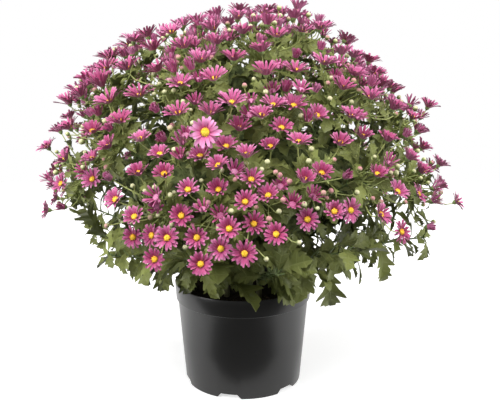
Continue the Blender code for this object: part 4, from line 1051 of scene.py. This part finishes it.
def more_heads(spray, bush, taken, rng):
    """Small half-open blooms and buds in the gaps between a spray's blooms."""
    own = [head["centre"] for head in spray["heads"]]
    middle = unit(np.mean(own, axis=0) - DOME_CENTRE)
    lowest = min(spot[2] for spot in own)
    choices = []
    for _ in range(FRESH_TRIES):
        way = unit(middle + rng.uniform(-0.28, 0.28, 3))
        spot = DOME_CENTRE + way * (bush.reach(way) - rng.uniform(-0.005, 0.012))
        if spot[2] > lowest and norm(spot - spray["hub"]) < FRESH_REACH:
            choices.append((room_at(spot, taken), tuple(spot), tuple(way)))
    choices.sort(reverse=True)
    fresh = []
    half_open = round(float(np.interp(middle[2], (0.3, 0.7), FRESH_HALF_OPEN)))
    for _, spot, way in choices:
        spot, way = np.array(spot), np.array(way)
        kind = "half_open" if len(fresh) < half_open else "bud"
        if room_at(spot, taken) < FRESH_ROOM[kind] or len(fresh) >= half_open + FRESH_BUDS:
            continue
        out = unit(way + 0.6 * UP + rng.uniform(-0.35, 0.35, 3))
        head = dict(kind=kind, centre=spot, out=out, turn=rng.uniform(*ANY_TURN))
        head["radius"] = rng.uniform(*FRESH_RADII[kind])
        head["cup"] = radians(rng.uniform(36, 66))
        fresh.append(head)
        taken.append(spot)
    side, other = around(middle)

    def bearing(head):
        lever = head["centre"] - spray["hub"]
        return atan2(lever.dot(other), lever.dot(side))

    return sorted(fresh, key=bearing)


def settle_bloom(head, rng):
    """Leans, tilts and sizes an open bloom for its height and its side of the bush."""
    height = unit(head["centre"] - DOME_CENTRE)[2]
    lean = float(np.interp(height, *HEAD_LEANS))
    head["out"] = unit(head["out"] + lean * UP + rng.normal(0, 0.12, 3))
    head["radius"] *= rng.uniform(0.92, 1.05) * np.interp(height, *HEAD_SIZES)
    fuller = np.clip(-head["centre"][0], -0.1, 0.2) * np.interp(height, (0.3, 0.6), (0, 1))
    head["radius"] *= 1 + 0.60 * fuller
    if head.get("large"):
        towards = unit(np.array(EYE) - head["centre"])
        centre = head["centre"] + LARGE_BLOOM_FORWARD * towards
        head.update(out=towards, tone=LARGE_BLOOM_TONE, cup=LARGE_BLOOM_CUP, centre=centre)
        head["radius"] *= LARGE_BLOOM_GROWTH


def stalk_end(head):
    """Where a flower head's stalk meets it."""
    depth = NECK - 0.0002 if head["kind"] != "bud" else head["radius"]
    return head["centre"] - head["out"] * depth


def add_heads(piece, spray, fresh, rng):
    """All flower heads of a spray with their stalks, the fresh ones forked off in threes."""
    hub, foot = spray["hub"], spray["foot"]
    axis = unit(hub - foot)
    add_stalk(piece, foot, hub, axis, HUB_RADII, sides=6, rows=3)
    for head in spray["heads"] + fresh:
        head["tone"] = rng.uniform(0, 1)
    for head in spray["heads"]:
        if head["kind"] == "open":
            settle_bloom(head, rng)
    for head in spray["heads"]:
        add_stalk(piece, hub, stalk_end(head), head["out"], STALK_RADII, bend=axis * 0.25)
    for first in range(0, len(fresh), FORK_HEADS):
        members = fresh[first: first + FORK_HEADS]
        goal = np.mean([head["centre"] for head in members], axis=0)
        fork = hub + (goal - hub) * FORK_SHARE - unit(goal - DOME_CENTRE) * FORK_DEPTH
        add_stalk(piece, hub, fork, unit(goal - hub), STALK_RADII, bend=axis * 0.3, rows=5)
        for head in members:
            end = stalk_end(head)
            add_stalk(piece, fork, end, head["out"], FRESH_STALK_RADII, sides=4, rows=5)
    makers = {"open": add_open_bloom, "half_open": add_half_open, "bud": add_bud}
    for head in spray["heads"] + fresh:
        makers[head["kind"]](piece, head, rng)


def add_bracts(piece, spray, bush, rng):
    """Small narrow leaves on the stalks of a spray's own flower heads."""
    start = spray["hub"]
    for head in spray["heads"]:
        end = stalk_end(head)
        way = unit(end - start)
        for share in BRACT_SHARES:
            root = start + (end - start) * (share + rng.uniform(-0.07, 0.07))
            along = unit(unit(np.cross(way, rng.normal(0, 1, 3))) + way * 0.6)
            face = unit(way - along * way.dot(along))
            length = rng.uniform(0.024, 0.046) * (1.2 - share)
            leaf = dict(root=root, start=root + along * 0.2 * length, along=along, face=face)
            leaf.update(length=length, width=rng.uniform(0.20, 0.33), light=0.25)
            leaf["rows"] = BRACT_ROWS if length < SMALL_BRACT else SMALL_LEAF_ROWS
            if bush.depth(leaf["start"] + along * length) > BRACT_DEPTH:
                add_leaf(piece, leaf, rng)


def pixel_of(point):
    """Where the camera sees a point, in pixels of the photograph."""
    lever = point - np.array(EYE)
    over = np.array((0, sin(EYE_PITCH), cos(EYE_PITCH)))
    ahead = np.array((0, cos(EYE_PITCH), -sin(EYE_PITCH)))
    scale = FOCAL_PIXELS / lever.dot(ahead)
    return np.array((PICTURE_MIDDLE[0] + lever[0] * scale, PICTURE_MIDDLE[1] - lever.dot(over) * scale))


def make_spray(spray, bush, taken, materials):
    """A spray of blooms, half-open blooms and buds, with their stalks and bracts."""
    number = int(spray["node"].split("_")[1])
    rng = np.random.default_rng(SPRAY_SEED + number)
    piece = Piece()
    fresh = more_heads(spray, bush, taken, rng)
    add_heads(piece, spray, fresh, rng)
    add_bracts(piece, spray, bush, rng)
    piece.finish(f"flowers_{number:02d}", materials, "flower_spray", [spray["node"]])


def add_painted_shade_core(piece, cutting, rng):
    """The twigs and leaves deep inside a cutting, as one jagged dark mass coloured with painted shade.
    """
    middle = DOME_CENTRE + 0.120 * UP
    if cutting:
        middle = DOME_CENTRE + cutting_spot(cutting) * 0.110 / CUTTING_RING + 0.034 * UP
    turns = np.linspace(0.06, pi - 0.06, 11)
    profile = [(CORE_RADIUS * sin(turn), -CORE_RADIUS * cos(turn)) for turn in turns]
    rings = turned(profile, 16)
    # The mass is mostly painted shade: a dark lump where the shadow falls deep in the bush
    piece.add(middle + rings * rng.uniform(0.62, 1.12, (*rings.shape[:2], 1)), CORE)


def make_plant(cutting, sprays, shoots, bush, materials):
    """A leafy cutting: its main stem, its branches and low shoots, and their leaves."""
    rng = np.random.default_rng(PLANT_SEED + cutting)
    piece = Piece()
    heights = np.linspace(TRUNK_FOOT, TRUNK_TOP, TRUNK_ROWS)
    trunk = [trunk_point(cutting, height) for height in heights]
    radii = TRUNK_RADIUS * (1 + 0.10 * np.cos(np.arange(TRUNK_ROWS) * pi))
    piece.add(tube_rings(trunk, radii, 8), WOOD)
    branches = [branch_curve(cutting, number, spray) for number, spray in enumerate(sprays)]
    for curves, ends in ((branches, BRANCH_RADII), (shoots, SHOOT_RADII)):
        for curve in curves:
            path = bezier(curve, np.linspace(0, 1, BRANCH_ROWS))
            piece.add(tube_rings(path, np.linspace(*ends, BRANCH_ROWS), 6), STEM)
    leaves = []
    for curves, growth in ((branches, BRANCH_LEAVES), (shoots, SHOOT_LEAVES)):
        for curve in curves:
            leaves += leaves_along(curve, bush, rng, **growth)
    for leaf in leaves:
        leaf["width"] = rng.uniform(0.24, 0.36)
        if leaf["length"] < SMALL_LEAF:
            leaf["rows"] = SMALL_LEAF_ROWS
    leaves += read_leaves(f"leafy_plant_{cutting}")
    add_painted_shade_core(piece, cutting, rng)
    for leaf in leaves:
        add_leaf(piece, leaf, rng)
    piece.finish(f"leaves_{cutting}", materials, "green_foliage", [f"leafy_plant_{cutting}"])


# Stage

def make_camera():
    camera = bpy.data.cameras.new("camera")
    camera.sensor_width = SENSOR_WIDTH
    camera.lens = SENSOR_WIDTH * FOCAL_PIXELS / PICTURE_WIDTH
    made = link("camera", camera)
    made.location = EYE
    made.rotation_euler = (pi / 2 - EYE_PITCH, 0, 0)
    bpy.context.scene.camera = made


def make_floor():
    """A pale table."""
    mesh = bpy.data.meshes.new("floor")
    front, reach = TABLE_FRONT, 1.6
    corners = [(-reach, front, 0), (reach, front, 0), (reach, reach, 0), (-reach, reach, 0)]
    mesh.from_pydata(corners, [], [(0, 1, 2, 3)])
    floor = link("floor", mesh)
    mat = Material("pale_floor", 0.8, 0.1, Emission_Color=(1, 1, 1, 1), Emission_Strength=0.62)
    grey = mat.mix(mat.noise(3.0), (0.70, 0.70, 0.70), (0.74, 0.74, 0.74))
    mat.feed(mat.body.inputs["Base Color"], grey)
    mesh.materials.append(mat.made)


def make_light():
    """White surroundings that are dark below the table, and soft lamps round the plant."""
    world = bpy.data.worlds.new("studio")
    bpy.context.scene.world = world
    world.use_nodes = True
    nodes, links = world.node_tree.nodes, world.node_tree.links
    parts = nodes.new("ShaderNodeSeparateXYZ")
    links.new(nodes.new("ShaderNodeTexCoord").outputs["Generated"], parts.inputs["Vector"])
    both = nodes.new("ShaderNodeMath")
    both.operation = "MULTIPLY"
    for number, (axis, ends) in enumerate(SURROUNDINGS):
        made = nodes.new("ShaderNodeMapRange")
        for label, value in zip(("From Min", "From Max", "To Min", "To Max"), ends):
            made.inputs[label].default_value = value
        links.new(parts.outputs[axis], made.inputs["Value"])
        links.new(made.outputs["Result"], both.inputs[number])
    strength = nodes.new("ShaderNodeMix")
    links.new(nodes.new("ShaderNodeLightPath").outputs["Is Camera Ray"], strength.inputs[0])
    links.new(both.outputs[0], strength.inputs[2])
    strength.inputs[3].default_value = 1.0
    links.new(strength.outputs[0], nodes["Background"].inputs["Strength"])
    nodes["Background"].inputs["Color"].default_value = (1, 1, 1, 1)
    for name, place, size, power in SOFTBOXES:
        lamp = bpy.data.lights.new(name, "AREA")
        lamp.shape = "RECTANGLE"
        lamp.size, lamp.size_y = size
        lamp.energy = power
        made = link(name, lamp)
        made.location = place
        aim = Vector((0, 0, 0.28)) - Vector(place)
        made.rotation_euler = aim.to_track_quat("-Z", "Y").to_euler()
    bpy.context.scene.view_settings.view_transform = "Standard"


def main():
    sprays = [read_spray(name) for name in sorted(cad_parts) if name.startswith("spray_")]
    bush = Bush(sprays)
    stalk, stem, wood, calyx = (stem_material(name, *tints) for name, tints in STEM_TINTS.items())
    leaf = leaf_material()
    spray_materials = [leaf, stalk, petal_material(), calyx, disc_material(), bud_material()]
    plant_materials = [leaf, stem, wood, painted_shade_core_material()]
    make_camera()
    make_floor()
    make_light()
    make_pot(plastic_material())
    make_soil(soil_material())
    heads = [head for spray in sprays for head in spray["heads"]]
    taken = [head["centre"] for head in heads]
    front = [head for head in heads if head["kind"] == "open" and head["centre"][1] < 0]
    min(front, key=lambda h: norm(pixel_of(h["centre"]) - LARGE_BLOOM_PIXEL))["large"] = True
    for spray in sprays:
        make_spray(spray, bush, taken, spray_materials)
    shoots = shoot_curves()
    for cutting in range(OUTER_CUTTINGS + 1):
        own = sprays[cutting * BRANCHES_EACH: (cutting + 1) * BRANCHES_EACH]
        low = [curve for owner, curve in shoots if owner == cutting]
        make_plant(cutting, own, low, bush, plant_materials)


main()
